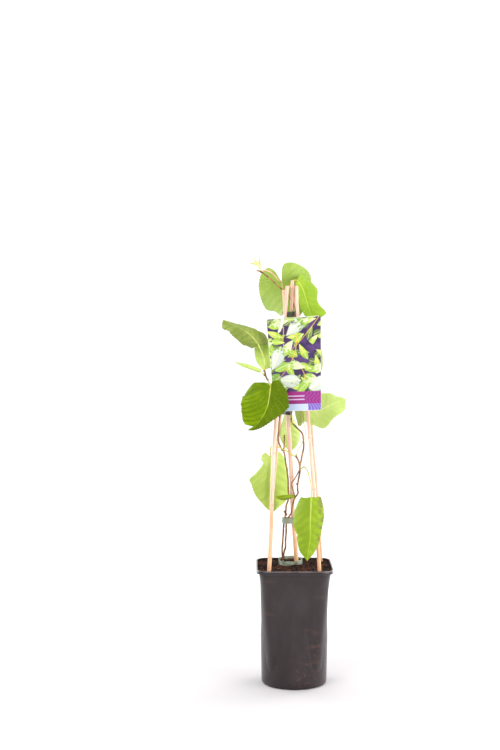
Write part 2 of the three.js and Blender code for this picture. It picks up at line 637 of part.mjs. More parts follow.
// Leaves. Each blade is drawn as two halves on a curved midrib. A half's width is in
// millimetres. As shares of the length and the width, lobe is how far it reaches back past
// the base, sinus and shoulder how far out it starts and rounds off there, widest where it
// is broadest and full how broad it stays beyond. A dent is a place along the margin, its
// spread and its depth, and a depth below nothing is a swelling. Taper and tip shape the
// last stretch of both halves. The two broadest leaves have outlines of their own instead,
// and a bite is given by its corners. Fold and curl are degrees, up from the flat at the
// midrib and onwards to the margin.
const LEAVES = [
  {
    name: 'leaf_front',
    color: DARK_LEAF,
    petiole: [[-48, -16, 548], [-47, -26, 547], [-45, -42, 545], [-44, -55, 542]],
    petioleRadius: 1.1,
    rib: [[-44, -64, 538], [-46, -72, 523], [-50, -76, 504], [-59, -75, 486], [-70, -71, 472],
      [-82, -66, 463]],
    roll: [25, -25],
    left: { width: 34, fold: -25, curl: 8,
      outline: [[0, 0], [-0.12, 0.05], [-0.17, 0.25], [-0.15, 0.47], [-0.01, 0.76], [0.19, 1.01],
        [0.31, 1.09], [0.38, 0.97], [0.5, 0.73], [0.6, 0.6], [0.77, 0.45], [0.89, 0.25],
        [0.95, 0.15], [1, 0]] },
    right: { width: 46, fold: -6, curl: -16,
      outline: [[0, 0], [-0.09, 0.1], [-0.12, 0.3], [-0.14, 0.61], [-0.1, 0.83], [0.01, 1.02],
        [0.27, 1.05], [0.58, 0.97], [0.71, 0.86], [0.88, 0.7], [0.96, 0.48], [0.97, 0.25],
        [1, 0]] },
    bite: [[-74, 470.5], [-92, 474.3], [-92, 459]],
    rows: 22,
  },
  {
    name: 'leaf_upper_left',
    color: PALE_LEAF,
    petiole: [[-54, -20, 566], [-53, -22, 574], [-54, -23, 583], [-57, -24, 592], [-60, -23, 601]],
    petioleRadius: 1.1,
    rib: [[-65, -20, 612], [-73, -24, 623], [-84, -24, 633], [-98, -18, 641], [-114, -10, 648],
      [-128, -3, 656]],
    roll: [-7, 39],
    taper: 0.57,
    tip: 0.6,
    left: { width: 28, lobe: 0.02, sinus: 0.06, widest: 0.24, full: 0.72, fold: -19, curl: -32,
      dents: [[0.3, 0.054, 0.15], [0.47, 0.064, 0.08], [0.72, 0.035, 0.26]] },
    right: { width: 38, lobe: 0.15, sinus: 0.22, widest: 0.37, full: 0.89, fold: -36, curl: -50,
      dents: [[0.32, 0.046, -0.07], [0.44, 0.057, 0.3], [0.75, 0.073, 0.07]] },
    rows: 20,
  },
  {
    name: 'leaf_behind_shoot',
    color: PALE_LEAF,
    petiole: [[-54, -20, 566], [-53, -16, 566]],
    petioleRadius: 0.9,
    rib: [[-52, -12, 568], [-55, -6, 581], [-57, 0, 596], [-60, 5, 616], [-62, 6, 636]],
    roll: [-25, 22],
    taper: 0.46,
    tip: 0.2,
    left: { width: 16, lobe: 0, sinus: 0.11, shoulder: 0.45, widest: 0.26, full: 0.95,
      fold: -23, curl: -17, dents: [[0.49, 0.085, -0.1]] },
    right: { width: 17.5, lobe: 0.02, sinus: 0.14, widest: 0.36, full: 0.99, fold: 6, curl: 5,
      dents: [[0.28, 0.075, 0.09]] },
    rows: 16,
  },
  {
    name: 'leaf_narrow',
    color: PALE_LEAF,
    petiole: [[-53, -19, 558], [-56, -22, 559], [-58, -24, 562]],
    petioleRadius: 0.8,
    rib: [[-61, -26, 565], [-76, -31, 571], [-92, -30, 576], [-109, -22, 582]],
    roll: [0, -1],
    taper: 0.23,
    tip: 0.4,
    left: { width: 4.7, lobe: 0.01, sinus: 0.1, widest: 0.23, full: 0.81, fold: -20, curl: -27,
      dents: [[0.49, 0.08, 0.06]] },
    right: { width: 4.5, lobe: 0, sinus: 0.14, widest: 0.24, full: 0.85, fold: -19, curl: -25,
      dents: [[0.45, 0.09, 0.14], [0.63, 0.08, -0.1]] },
    rows: 12,
  },
  {
    name: 'leaf_top',
    color: PALE_LEAF,
    petiole: [[-60, -5, 741], [-55, -4, 744], [-48, -1, 743], [-42, 3, 740], [-35, 10, 734],
      [-29, 22, 728]],
    petioleRadius: 1.1,
    rib: [[-22, 34, 723], [-20, 34, 705], [-17, 35, 686], [-13, 37, 666], [-7, 40, 646]],
    roll: [-10, 25],
    left: { width: 53, fold: 0, curl: -30,
      outline: [[0, 0], [-0.19, 0.03], [-0.36, 0.09], [-0.43, 0.2], [-0.43, 0.44], [-0.35, 0.75],
        [-0.23, 1.02], [-0.07, 1.18], [0.16, 1.11], [0.4, 0.97], [0.62, 0.76], [0.86, 0.42],
        [1, 0]] },
    right: { width: 56, fold: -41, curl: 0,
      outline: [[0, 0], [-0.14, 0.11], [-0.27, 0.21], [-0.36, 0.38], [-0.35, 0.55], [-0.23, 0.75],
        [-0.03, 0.86], [0.23, 0.96], [0.52, 1], [0.62, 0.92], [0.67, 0.58], [0.78, 0.36],
        [0.9, 0.18], [1, 0]] },
    rows: 22,
  },
  {
    name: 'leaf_top_right',
    color: GREEN_LEAF,
    petiole: [[-15, 10, 705], [-11, 11, 712], [-7, 12, 718], [-2, 13, 725], [2, 13, 727]],
    petioleRadius: 1,
    rib: [[7, 12, 724], [14, 10, 713], [20, 9, 696], [26, 10, 677], [34, 12, 653]],
    roll: [-25, 25],
    taper: 0.63,
    tip: 0.9,
    left: { width: 46.5, lobe: 0.13, sinus: 0.07, widest: 0.21, full: 0.47, fold: -15, curl: -57,
      dents: [[0.39, 0.06, -0.18], [0.71, 0.075, 0.09]] },
    right: { width: 17, lobe: 0, sinus: 0.13, shoulder: 0.56, widest: 0.26, full: 1,
      fold: 24, curl: 19 },
    rows: 20,
  },
  {
    name: 'leaf_behind_label',
    color: PALE_LEAF,
    petiole: [[-8, -8, 537], [-1, -6, 541], [8, -5, 545]],
    petioleRadius: 0.9,
    rib: [[15, -3, 551], [23, -2, 569], [30, 0, 591], [34, 4, 616]],
    roll: [-25, 9],
    taper: 0.67,
    tip: 0.68,
    left: { width: 20, lobe: 0.05, sinus: 0.05, widest: 0.21, full: 0.7, fold: -14, curl: -14 },
    right: { width: 26.5, lobe: 0, sinus: 0.13, shoulder: 0.5, widest: 0.31, full: 0.83,
      fold: 7, curl: 3, dents: [[0.73, 0.085, 0.14]] },
    rows: 18,
  },
  {
    name: 'leaf_right',
    color: PALE_LEAF,
    petiole: [[-6, -9, 500], [1, -7, 502], [10, -5, 498]],
    petioleRadius: 1,
    rib: [[18, -5, 487], [35, -5, 491], [55, -3, 498], [75, 2, 507], [93, 9, 513]],
    roll: [10, -36],
    taper: 0.49,
    tip: 0.48,
    left: { width: 25.5, lobe: 0.03, sinus: 0.05, shoulder: 0.6, widest: 0.37, full: 1,
      fold: -9, curl: -4, dents: [[0.45, 0.1, -0.14], [0.67, 0.1, -0.1]] },
    right: { width: 35, lobe: 0.03, sinus: 0.07, shoulder: 0.48, widest: 0.29, full: 0.6,
      fold: -12, curl: 0, dents: [[0.36, 0.07, 0.15], [0.72, 0.065, -0.15]] },
    rows: 20,
  },
  {
    name: 'leaf_under_label',
    color: PALE_LEAF,
    petiole: [[3, -9, 411], [5, -8, 419], [8, -6, 424], [12, -1, 431], [16, 3, 438],
      [20, 8, 446], [20, 11, 459]],
    petioleRadius: 0.7,
    rib: [[16, 12, 472], [14, 13, 489], [11, 14, 509], [11, 16, 532]],
    roll: [-25, 1],
    taper: 0.67,
    tip: 0.64,
    left: { width: 19.5, lobe: 0.12, sinus: 0.18, widest: 0.36, full: 0.82, fold: -14, curl: -28,
      dents: [[0.5, 0.075, 0.1]] },
    right: { width: 19, lobe: 0.01, sinus: 0.11, shoulder: 0.56, widest: 0.31, full: 1,
      fold: 2, curl: 0 },
    rows: 18,
  },
  {
    name: 'leaf_hanging',
    color: PALE_LEAF,
    petiole: [[-26, 4, 496], [-22, 11, 499], [-15, 23, 498]],
    petioleRadius: 0.9,
    rib: [[-9, 37, 487], [-7, 37, 469], [-5, 36, 451], [-4, 38, 433], [-5, 44, 415]],
    roll: [-25, 21],
    taper: 0.53,
    tip: 0.5,
    left: { width: 21.5, lobe: 0, sinus: 0.1, shoulder: 0.46, widest: 0.35, full: 1,
      fold: -32, curl: -28, dents: [[0.34, 0.09, 0.15], [0.6, 0.1, -0.09]] },
    right: { width: 23.5, lobe: 0, sinus: 0.12, shoulder: 0.57, widest: 0.32, full: 1,
      fold: 26, curl: 15 },
    rows: 20,
  },
  {
    name: 'leaf_lower_left',
    color: PALE_LEAF,
    petiole: [[3, -9, 411], [-3, -10, 413], [-8, -9, 417], [-15, -5, 421], [-20, -1, 423],
      [-26, 0, 426], [-33, 0, 428], [-39, 4, 428], [-42, 12, 425], [-43, 24, 417], [-42, 35, 409]],
    petioleRadius: 1.1,
    rib: [[-41, 42, 402], [-39, 46, 380], [-38, 48, 354], [-38, 48, 326], [-38, 47, 301]],
    roll: [-25, 25],
    taper: 0.36,
    tip: 0.5,
    left: { width: 36.5, lobe: 0.06, sinus: 0.13, widest: 0.44, full: 0.91, fold: -3, curl: -35,
      dents: [[0.29, 0.04, 0.13], [0.52, 0.114, 0.15], [0.84, 0.1, -0.22]] },
    right: { width: 50, lobe: 0.16, sinus: 0.21, widest: 0.3, full: 0.8, fold: 35, curl: -3,
      dents: [[0.21, 0.09, -0.08], [0.36, 0.036, 0.27], [0.49, 0.043, -0.16]] },
    rows: 22,
  },
  {
    name: 'leaf_lower_right',
    color: GREEN_LEAF,
    petiole: [[10, -6, 388], [13, -11, 390], [16, -16, 393], [18, -22, 393], [22, -31, 389],
      [24, -40, 383], [26, -48, 375], [28, -54, 366], [28, -58, 356]],
    petioleRadius: 1.1,
    rib: [[28, -60, 345], [27, -67, 325], [26, -70, 303], [26, -68, 274], [23, -64, 250],
      [21, -60, 232]],
    roll: [16, 1],
    taper: 0.47,
    tip: 0.45,
    left: { width: 23, lobe: 0, sinus: 0.08, widest: 0.27, full: 0.85, fold: -15, curl: -23,
      dents: [[0.46, 0.09, -0.09], [0.73, 0.06, -0.11]] },
    right: { width: 40, lobe: 0, sinus: 0.14, widest: 0.26, full: 0.88, fold: -23, curl: -21,
      dents: [[0.27, 0.09, 0.09], [0.63, 0.04, 0.16]] },
    rows: 22,
  },
  {
    name: 'leaf_small',
    color: GREEN_LEAF,
    petiole: [[1, -3, 336], [-1, -6, 338]],
    petioleRadius: 0.8,
    rib: [[-3, -8, 339], [-12, -9, 338], [-22, -9, 337], [-34, -7, 338]],
    roll: [-25, 4],
    taper: 0.49,
    tip: 0.46,
    left: { width: 7.3, lobe: 0.14, sinus: 0.05, widest: 0.3, full: 0.87, fold: -18, curl: -22 },
    right: { width: 4.7, lobe: 0.08, sinus: 0.07, widest: 0.33, full: 0.93, fold: -1, curl: 0,
      dents: [[0.36, 0.12, 0.14]] },
    rows: 12,
  },
];

// Half of a blade's outline: share of the length against share of the half's width
function halfOutline(half, { taper, tip, rows }) {
  const { lobe, sinus, shoulder = SHOULDER, widest, full, outline } = half;
  const shape = outline ?? [
    [0, 0],
    [-0.62 * lobe, sinus],
    [-lobe, 0.55 * shoulder],
    [-0.45 * lobe, shoulder],
    [widest, 1],
    [widest + 0.42 * (1 - widest), full],
    [0.86, taper],
    [0.94, tip * taper],
    [1, 0],
  ];
  return curveThrough(shape.map(([along, out]) => [along, out, 0])).getSpacedPoints(rows);
}

// How much of the half's width is left at a place along its margin, past dents and swellings
function dented({ dents = [] }, place) {
  return dents.reduce((share, [centre, spread, depth]) => {
    return share - depth * Math.exp(-(((place - centre) / spread) ** 2));
  }, 1);
}

// The blade's own directions at a point of its midrib: along, out to its right, and up
function ribFrame(path, at, roll) {
  const along = path.getTangentAt(at);
  const front = new THREE.Vector3(0, -1, 0);
  const facing = front.addScaledVector(along, -front.dot(along)).normalize();
  const level = new THREE.Vector3().crossVectors(along, facing);
  const turn = THREE.MathUtils.degToRad(roll[0] + (roll[1] - roll[0]) * at);
  const up = facing.clone().multiplyScalar(Math.cos(turn)).addScaledVector(level, Math.sin(turn));
  return { along, out: new THREE.Vector3().crossVectors(along, up), up };
}

function bladePoint(path, roll, half, side, along, width) {
  const at = THREE.MathUtils.clamp(along, 0, 1);
  const { out, up } = ribFrame(path, at, roll);
  const fold = THREE.MathUtils.degToRad(half.fold);
  const curl = THREE.MathUtils.degToRad(half.curl);
  const bend = curl * (width / half.width);
  const bent = Math.abs(curl) > 0.02;
  const radius = half.width / curl;
  const across = bent ? radius * (Math.sin(fold + bend) - Math.sin(fold)) : width * Math.cos(fold);
  const lift = bent ? radius * (Math.cos(fold) - Math.cos(fold + bend)) : width * Math.sin(fold);
  const point = path.getPointAt(at);
  point.addScaledVector(path.getTangentAt(at), (along - at) * path.getLength());
  return point.addScaledVector(out, side * across).addScaledVector(up, lift);
}

function buildBlade(leaf) {
  const { rib, roll, left, right, rows } = leaf;
  const path = curveThrough(rib);
  const margins = new Map([left, right].map((half) => [half, halfOutline(half, leaf)]));
  const points = [];
  for (let i = 1; i < rows; i++) {
    const share = (i / rows) ** ROW_SLANT;
    const across = (half, side, k) => {
      const margin = margins.get(half)[i];
      const fade = THREE.MathUtils.clamp(2 * margin.y - 0.2, 0, 1);
      const tooth = Math.min(TOOTH, TOOTH_SHARE * half.width) * fade;
      const serration = k === 1 ? tooth * (i % 2 ? 1 : -1) : 0;
      const width = half.width * margin.y * dented(half, i / rows) * k + serration;
      return bladePoint(path, roll, half, side, share * (1 - k) + margin.x * k, width);
    };
    for (let j = BLADE_COLUMNS; j > 0; j--) points.push(across(left, -1, j / BLADE_COLUMNS));
    points.push(path.getPointAt(share));
    for (let j = 1; j <= BLADE_COLUMNS; j++) points.push(across(right, 1, j / BLADE_COLUMNS));
  }
  const columns = 2 * BLADE_COLUMNS + 1;
  const triangles = gridTriangles(rows - 1, columns).map(([a, b, c]) => [a, c, b]);
  const base = points.push(path.getPointAt(0)) - 1;
  const tip = points.push(path.getPointAt(1)) - 1;
  const last = (rows - 2) * columns;
  for (let j = 0; j + 1 < columns; j++) {
    triangles.push([base, j + 1, j], [tip, last + j, last + j + 1]);
  }
  return toSolid(thicken(points, triangles, BLADE_THICKNESS));
}

// The room of a piece missing from a blade's edge, as seen from the front
function biteSpace(corners) {
  const shape = new THREE.Shape(corners.map(([x, z]) => new THREE.Vector2(x, z)));
  const wedge = new THREE.ExtrudeGeometry(shape, { depth: BITE_DEPTH, bevelEnabled: false });
  return toSolid(wedge.rotateX(Math.PI / 2));
}

// A leaf is its blade with the stalk, which runs on under it as the start of the midrib
function buildLeaf(leaf, vineSpace) {
  const whole = buildBlade(leaf);
  const blade = leaf.bite ? whole.subtract(biteSpace(leaf.bite)) : whole;
  const path = curveThrough(leaf.rib);
  const underBlade = [0, MIDRIB_REACH / 2, MIDRIB_REACH].map((at) => path.getPointAt(at).toArray());
  const route = [...leaf.petiole, ...underBlade];
  const stations = evenStations(leaf.petioleRadius, MIDRIB_END_RADIUS, 8);
  const stalk = toSolid(sweep(route, stations, STEM_SIDES)).subtract(vineSpace);
  return blade.add(stalk);
}

// The growing tip: a short stalk and three leaves still rolled up
const TIP_STALK = [[-60, -5, 742], [-62, -5, 747], [-65, -6, 752], [-67, -6.5, 754]];
const ROLLED_LEAVES = [
  { points: [[-65, -6, 752.5], [-70, -8, 755], [-75, -10, 756], [-80, -12, 756]], radius: 1.7 },
  { points: [[-65, -6, 752.5], [-67, -5.5, 757], [-70, -4.5, 760], [-73, -3, 764]], radius: 1.8 },
  { points: [[-62, -5, 747], [-62, -4.5, 753], [-62.5, -4, 760], [-62, -3, 768]], radius: 1.5 },
];

function buildTip(vineSpace) {
  const spindle = (radius) => () => [0.5, 1, 0.85, 0.2].map((share, i) => {
    return { at: i / 3, radius: radius * share };
  });
  const stalk = toSolid(sweep(TIP_STALK, evenStations(1.2, 1, 5), STEM_SIDES));
  const leaves = ROLLED_LEAVES.map(({ points, radius }) => {
    return toSolid(sweep(points, spindle(radius), STEM_SIDES));
  });
  return joined([stalk, ...leaves]).subtract(vineSpace);
}

// The scene graph: the pot with its filling, the frame of canes, and the climbing plant
const vine = buildVine();
const vineSpace = buildVine(SNUG);
const caneSpaces = Object.values(CANES).map((cane) => buildCane(cane, GAP));
const rootSpace = joined([buildVine(GAP), ...caneSpaces]);

const potGroup = new THREE.Group();
potGroup.add(
  meshAt('pot', toGeometry(buildPot()), finish(BLACK_PLASTIC, 0.55), [0, 0, 0]),
  meshAt('potting_soil', toGeometry(buildSoil(rootSpace)), finish(POT_SOIL, 0.95), [0, 0, SOIL_TOP]),
  meshAt('plug_sleeve', toGeometry(buildSleeve()), finish(SLEEVE_PAPER, 0.8), [...PLUG_CENTRE, SLEEVE_FOOT]),
);

const teepee = new THREE.Group();
for (const [name, cane] of Object.entries(CANES)) {
  teepee.add(meshAt(name, toGeometry(buildCane(cane)), finish(BAMBOO, 0.5), cane.foot));
}
for (const [name, tape] of Object.entries(TAPES)) {
  teepee.add(meshAt(name, toGeometry(buildTape(tape)), finish(tape.color, 0.45), [0, 0, tape.low]));
}
teepee.add(
  meshAt('label_card', toGeometry(buildCard()), finish(LABEL, 0.35), CARD.topLeft),
  meshAt('label_strap', toGeometry(buildStrap()), finish(WHITE_STRAP, 0.4), SLOT_CENTRE),
);

const plant = new THREE.Group();
plant.add(meshAt('vine', toGeometry(vine), finish(BARK, 0.75), CROWN));
for (const leaf of LEAVES) {
  plant.add(meshAt(leaf.name, toGeometry(buildLeaf(leaf, vineSpace)), finish(leaf.color, 0.5), leaf.rib[0]));
}
plant.add(meshAt('tip_leaves', toGeometry(buildTip(vineSpace)), finish(CREAM_TIP, 0.6), TIP_STALK[0]));

const pottedKiwi = new THREE.Group();
pottedKiwi.add(potGroup, teepee, plant);

export default pottedKiwi;
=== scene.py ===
"""Looks of a potted arctic kiwi: a twining vine on a bamboo teepee in a nursery pot.

Lengths in the sizes below are millimetres in the frame of the model, +Z up and the label
facing -Y, and become metres where a mesh is shaped.
"""

import functools
import logging
import random
from dataclasses import dataclass, replace
from enum import Enum
from math import atan2, cos, exp, hypot, pi, radians, sin, sqrt, tan
from typing import Any, Callable, Sequence

import bpy
from mathutils import Matrix, Vector, noise


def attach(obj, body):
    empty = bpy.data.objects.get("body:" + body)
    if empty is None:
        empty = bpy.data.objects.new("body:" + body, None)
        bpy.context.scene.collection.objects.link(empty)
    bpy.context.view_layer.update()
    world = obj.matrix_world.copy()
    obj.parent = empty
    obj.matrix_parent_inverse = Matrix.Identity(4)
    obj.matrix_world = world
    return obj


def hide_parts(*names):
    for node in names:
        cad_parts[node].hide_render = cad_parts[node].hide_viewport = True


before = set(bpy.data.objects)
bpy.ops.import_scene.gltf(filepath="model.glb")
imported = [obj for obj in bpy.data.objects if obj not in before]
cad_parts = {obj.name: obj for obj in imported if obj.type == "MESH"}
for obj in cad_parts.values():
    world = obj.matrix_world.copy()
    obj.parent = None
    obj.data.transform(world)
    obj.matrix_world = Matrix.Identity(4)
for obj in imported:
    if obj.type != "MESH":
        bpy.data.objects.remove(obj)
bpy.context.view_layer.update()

MM = 0.001
BODY = "root"
LOG = logging.getLogger("potted_kiwi")

Piece = bpy.types.Object
Material = bpy.types.Material
Point = tuple[float, float, float]
Colour = tuple[float, float, float, float]
Pair = tuple[float, float]


def tone(red: float, green: float, blue: float) -> Colour:
    """Turns a colour given in steps of 0 to 255 into the renderer's linear colour.

    Args:
        red: Red step.
        green: Green step.
        blue: Blue step.

    Returns:
        The linear colour with full cover.
    """

    def linear(step: float) -> float:
        """Undoes the screen curve of one channel."""
        share = step / 255
        return share / 12.92 if share <= 0.04045 else ((share + 0.055) / 1.055) ** 2.4

    return (linear(red), linear(green), linear(blue), 1.0)


def blend(first: float, last: float, share: float) -> float:
    """Returns the value that lies a share of the way from first to last."""
    return first + (last - first) * share


def smooth(low: float, high: float, value: float) -> float:
    """Returns a soft step from 0 at low to 1 at high."""
    share = min(1.0, max(0.0, (value - low) / (high - low)))
    return share * share * (3 - 2 * share)


class Route:
    """A smooth line through points, measured by its length."""

    STEPS = 24

    def __init__(self, points: Sequence[Point]) -> None:
        """Lays the line.

        Args:
            points: Points that the line passes through, in millimetres.
        """
        knots = [Vector(p) for p in points]
        knots = [2 * knots[0] - knots[1], *knots, 2 * knots[-1] - knots[-2]]
        self.samples: list[Vector] = []
        for i in range(1, len(knots) - 2):
            a, b, c, d = knots[i - 1 : i + 3]
            last = self.STEPS + (i == len(knots) - 3)
            for step in range(last):
                t = step / self.STEPS
                self.samples.append(
                    0.5 * (2 * b + (c - a) * t + (2 * a - 5 * b + 4 * c - d) * t * t
                           + (3 * b - a - 3 * c + d) * t ** 3)
                )
        self.marks = [0.0]
        for before, after in zip(self.samples, self.samples[1:]):
            self.marks.append(self.marks[-1] + (after - before).length)
        self.length = self.marks[-1]

    def at(self, share: float) -> Vector:
        """Finds a point of the line.

        Args:
            share: Share of its length.

        Returns:
            The point.
        """
        goal = min(1.0, max(0.0, share)) * self.length
        low, high = 0, len(self.marks) - 1
        while high - low > 1:
            middle = (low + high) // 2
            if self.marks[middle] <= goal:
                low = middle
            else:
                high = middle
        span = max(1e-9, self.marks[high] - self.marks[low])
        return self.samples[low].lerp(self.samples[high], (goal - self.marks[low]) / span)

    def heading(self, share: float) -> Vector:
        """Finds the line's direction.

        Args:
            share: Share of its length.

        Returns:
            The unit direction there.
        """
        step = 0.004
        low, high = max(0.0, share - step), min(1.0, share + step)
        return (self.at(high) - self.at(low)).normalized()

    def share_at_height(self, height: float) -> float:
        """Finds where a rising line reaches a height.

        Args:
            height: The height.

        Returns:
            The share of its length.
        """
        low, high = 0.0, 1.0
        for _ in range(30):
            middle = (low + high) / 2
            if self.at(middle).z < height:
                low = middle
            else:
                high = middle
        return low


# Modelling by hand: a primitive is added, shaped and closed


def deselect() -> None:
    """Clears the selection, so that an operator acts on the new piece alone."""
    bpy.ops.object.select_all(action="DESELECT")


def pick(piece: Piece) -> None:
    """Selects one object and makes it active.

    Args:
        piece: The object.
    """
    deselect()
    piece.select_set(True)
    bpy.context.view_layer.objects.active = piece


def edit(piece: Piece, *steps: Callable[[], Any]) -> None:
    """Runs edit-mode operators on all of a piece's mesh.

    Args:
        piece: The object to edit.
        steps: Calls that each run one operator.
    """
    pick(piece)
    bpy.ops.object.mode_set(mode="EDIT")
    bpy.ops.mesh.select_all(action="SELECT")
    for step in steps:
        step()
    bpy.ops.object.mode_set(mode="OBJECT")


def grid(
    name: str,
    across: int,
    along: int,
    place: Callable[[float, float], Vector],
    chart: Callable[[float, float], Pair] | None = None,
) -> Piece:
    """Adds a flat grid and moves each of its points to its place on the surface.

    Args:
        name: Name of the piece.
        across: Faces in the first direction.
        along: Faces in the second direction.
        place: Gives the point, in millimetres, for the shares across and along.
        chart: Gives its map for the same shares, or None for the shares alone.

    Returns:
        The shaped object.
    """
    deselect()
    bpy.ops.mesh.primitive_grid_add(x_subdivisions=across, y_subdivisions=along, size=1)
    piece = bpy.context.object
    piece.name = piece.data.name = name
    for vertex in piece.data.vertices:
        vertex.co = place(vertex.co.x + 0.5, vertex.co.y + 0.5) * MM
    if chart:
        for corner in piece.data.uv_layers.active.data:
            corner.uv = chart(corner.uv.x, corner.uv.y)
    return piece


def close(piece: Piece, reach: float = 0.01) -> None:
    """Joins a rolled-up grid along its seam and at its poles, and turns its faces outwards.

    Args:
        piece: The rolled-up grid.
        reach: Distance in millimetres up to which points are joined.
    """
    edit(
        piece,
        lambda: bpy.ops.mesh.remove_doubles(threshold=reach * MM),
        lambda: bpy.ops.mesh.normals_make_consistent(inside=False),
    )


def face(piece: Piece, side: Vector) -> None:
    """Turns an open sheet's faces to one side.

    Args:
        piece: The sheet.
        side: The direction that its faces look in afterwards.
    """
    facing = sum((p.normal * p.area for p in piece.data.polygons), Vector())
    if facing.dot(side) < 0:
        edit(piece, lambda: bpy.ops.mesh.flip_normals())


def soften(piece: Piece, angle: float = 40) -> None:
    """Shades a piece smoothly, with creases where its faces meet at more than an angle."""
    pick(piece)
    bpy.ops.object.shade_smooth_by_angle(angle=radians(angle))


def modify(piece: Piece, kind: str, **settings: Any) -> None:
    """Adds one modifier to a piece and applies it.

    Args:
        piece: The object to change.
        kind: Blender's name of the modifier type.
        settings: Values of the modifier's own properties.
    """
    pick(piece)
    modifier = piece.modifiers.new(kind.lower(), kind)
    for key, value in settings.items():
        setattr(modifier, key, value)
    bpy.ops.object.modifier_apply(modifier=modifier.name)


def carve(piece: Piece, cutter: Piece) -> None:
    """Cuts the shape of one object out of a piece and removes that object.

    Args:
        piece: The piece to cut.
        cutter: The shape to take out of it.
    """
    modify(piece, "BOOLEAN", object=cutter, operation="DIFFERENCE", solver="EXACT")
    pick(cutter)
    bpy.ops.object.delete()


def join(name: str, pieces: Sequence[Piece]) -> Piece:
    """Joins objects into one, which takes the name.

    Args:
        name: Name of the joined piece.
        pieces: The objects, of which the first takes in the rest.

    Returns:
        The joined piece.
    """
    deselect()
    for piece in pieces:
        piece.select_set(True)
    bpy.context.view_layer.objects.active = pieces[0]
    if len(pieces) > 1:
        bpy.ops.object.join()
    pieces[0].name = pieces[0].data.name = name
    return pieces[0]


def tube(name: str, route: Route, stations: Sequence[Pair], around: int,
         lumps: Callable[[Vector], float] | None = None) -> Piece:
    """Sweeps a round section along a route.

    Args:
        name: Name of the piece.
        route: The line that the middle of the tube follows.
        stations: Distance along the route and radius of each ring, 0 to close the tube.
        around: Faces round the tube.
        lumps: Adds to the radius at a point, or None for a plain tube.

    Returns:
        The tube, with a map of metres round and along it.
    """
    rings: list[tuple[Vector, Vector, Vector, float]] = []
    side = Vector((0, -1, 0))
    for distance, radius in stations:
        share = distance / route.length
        along = route.heading(share)
        side = (side - along * side.dot(along)).normalized()
        rings.append((route.at(share), side.copy(), along.cross(side), radius))
    last = len(rings) - 1

    def place(turn: float, row: float) -> Vector:
        """Gives a point on the ring of a row.

        Args:
            turn: Share of a full turn.
            row: Share of the rings.

        Returns:
            The point.
        """
        centre, out, up, radius = rings[round(row * last)]
        angle = 2 * pi * turn
        ray = out * cos(angle) + up * sin(angle)
        extra = lumps(centre + ray * radius) if lumps and radius > 0 else 0.0
        return centre + ray * (radius + extra)

    def chart(turn: float, row: float) -> Pair:
        """Gives metres round and along the tube."""
        distance, radius = stations[round(row * last)]
        return (turn * 2 * pi * max(radius, 0.5) * MM, distance * MM)

    piece = grid(name, around, last, place, chart)
    close(piece)
    return piece


# Shader maths


class Shade:
    """A value that changes over a surface, with Python's operators for its maths."""

    def __init__(self, finish: "Finish", socket: bpy.types.NodeSocket) -> None:
        """Wraps an output socket of a finish's node tree."""
        self.finish = finish
        self.socket = socket

    def math(self, operation: str, *others: "Shade | float") -> "Shade":
        """Adds a Math node that works on this value and others."""
        inputs = dict(enumerate([self, *others]))
        return self.finish.node("ShaderNodeMath", {"operation": operation}, inputs)

    def __add__(self, other: "Shade | float") -> "Shade":
        """Sum."""
        return self.math("ADD", other)

    __radd__ = __add__

    def __mul__(self, other: "Shade | float") -> "Shade":
        """Product."""
        return self.math("MULTIPLY", other)

    __rmul__ = __mul__

    def __sub__(self, other: "Shade | float") -> "Shade":
        """Difference."""
        return self.math("SUBTRACT", other)

    def __rsub__(self, other: float) -> "Shade":
        """Difference from a number."""
        return self.math("MULTIPLY", -1.0).math("ADD", other)

    def __truediv__(self, other: float) -> "Shade":
        """Quotient."""
        return self.math("DIVIDE", other)

    def __abs__(self) -> "Shade":
        """Size without sign."""
        return self.math("ABSOLUTE")

    def step(self, low: float, high: float) -> "Shade":
        """Makes a soft step.

        Args:
            low: Value that gives 0.
            high: Value that gives 1.

        Returns:
            The stepped value.
        """
        settings = {"interpolation_type": "SMOOTHSTEP"}
        inputs = {"Value": self, "From Min": low, "From Max": high}
        return self.finish.node("ShaderNodeMapRange", settings, inputs)


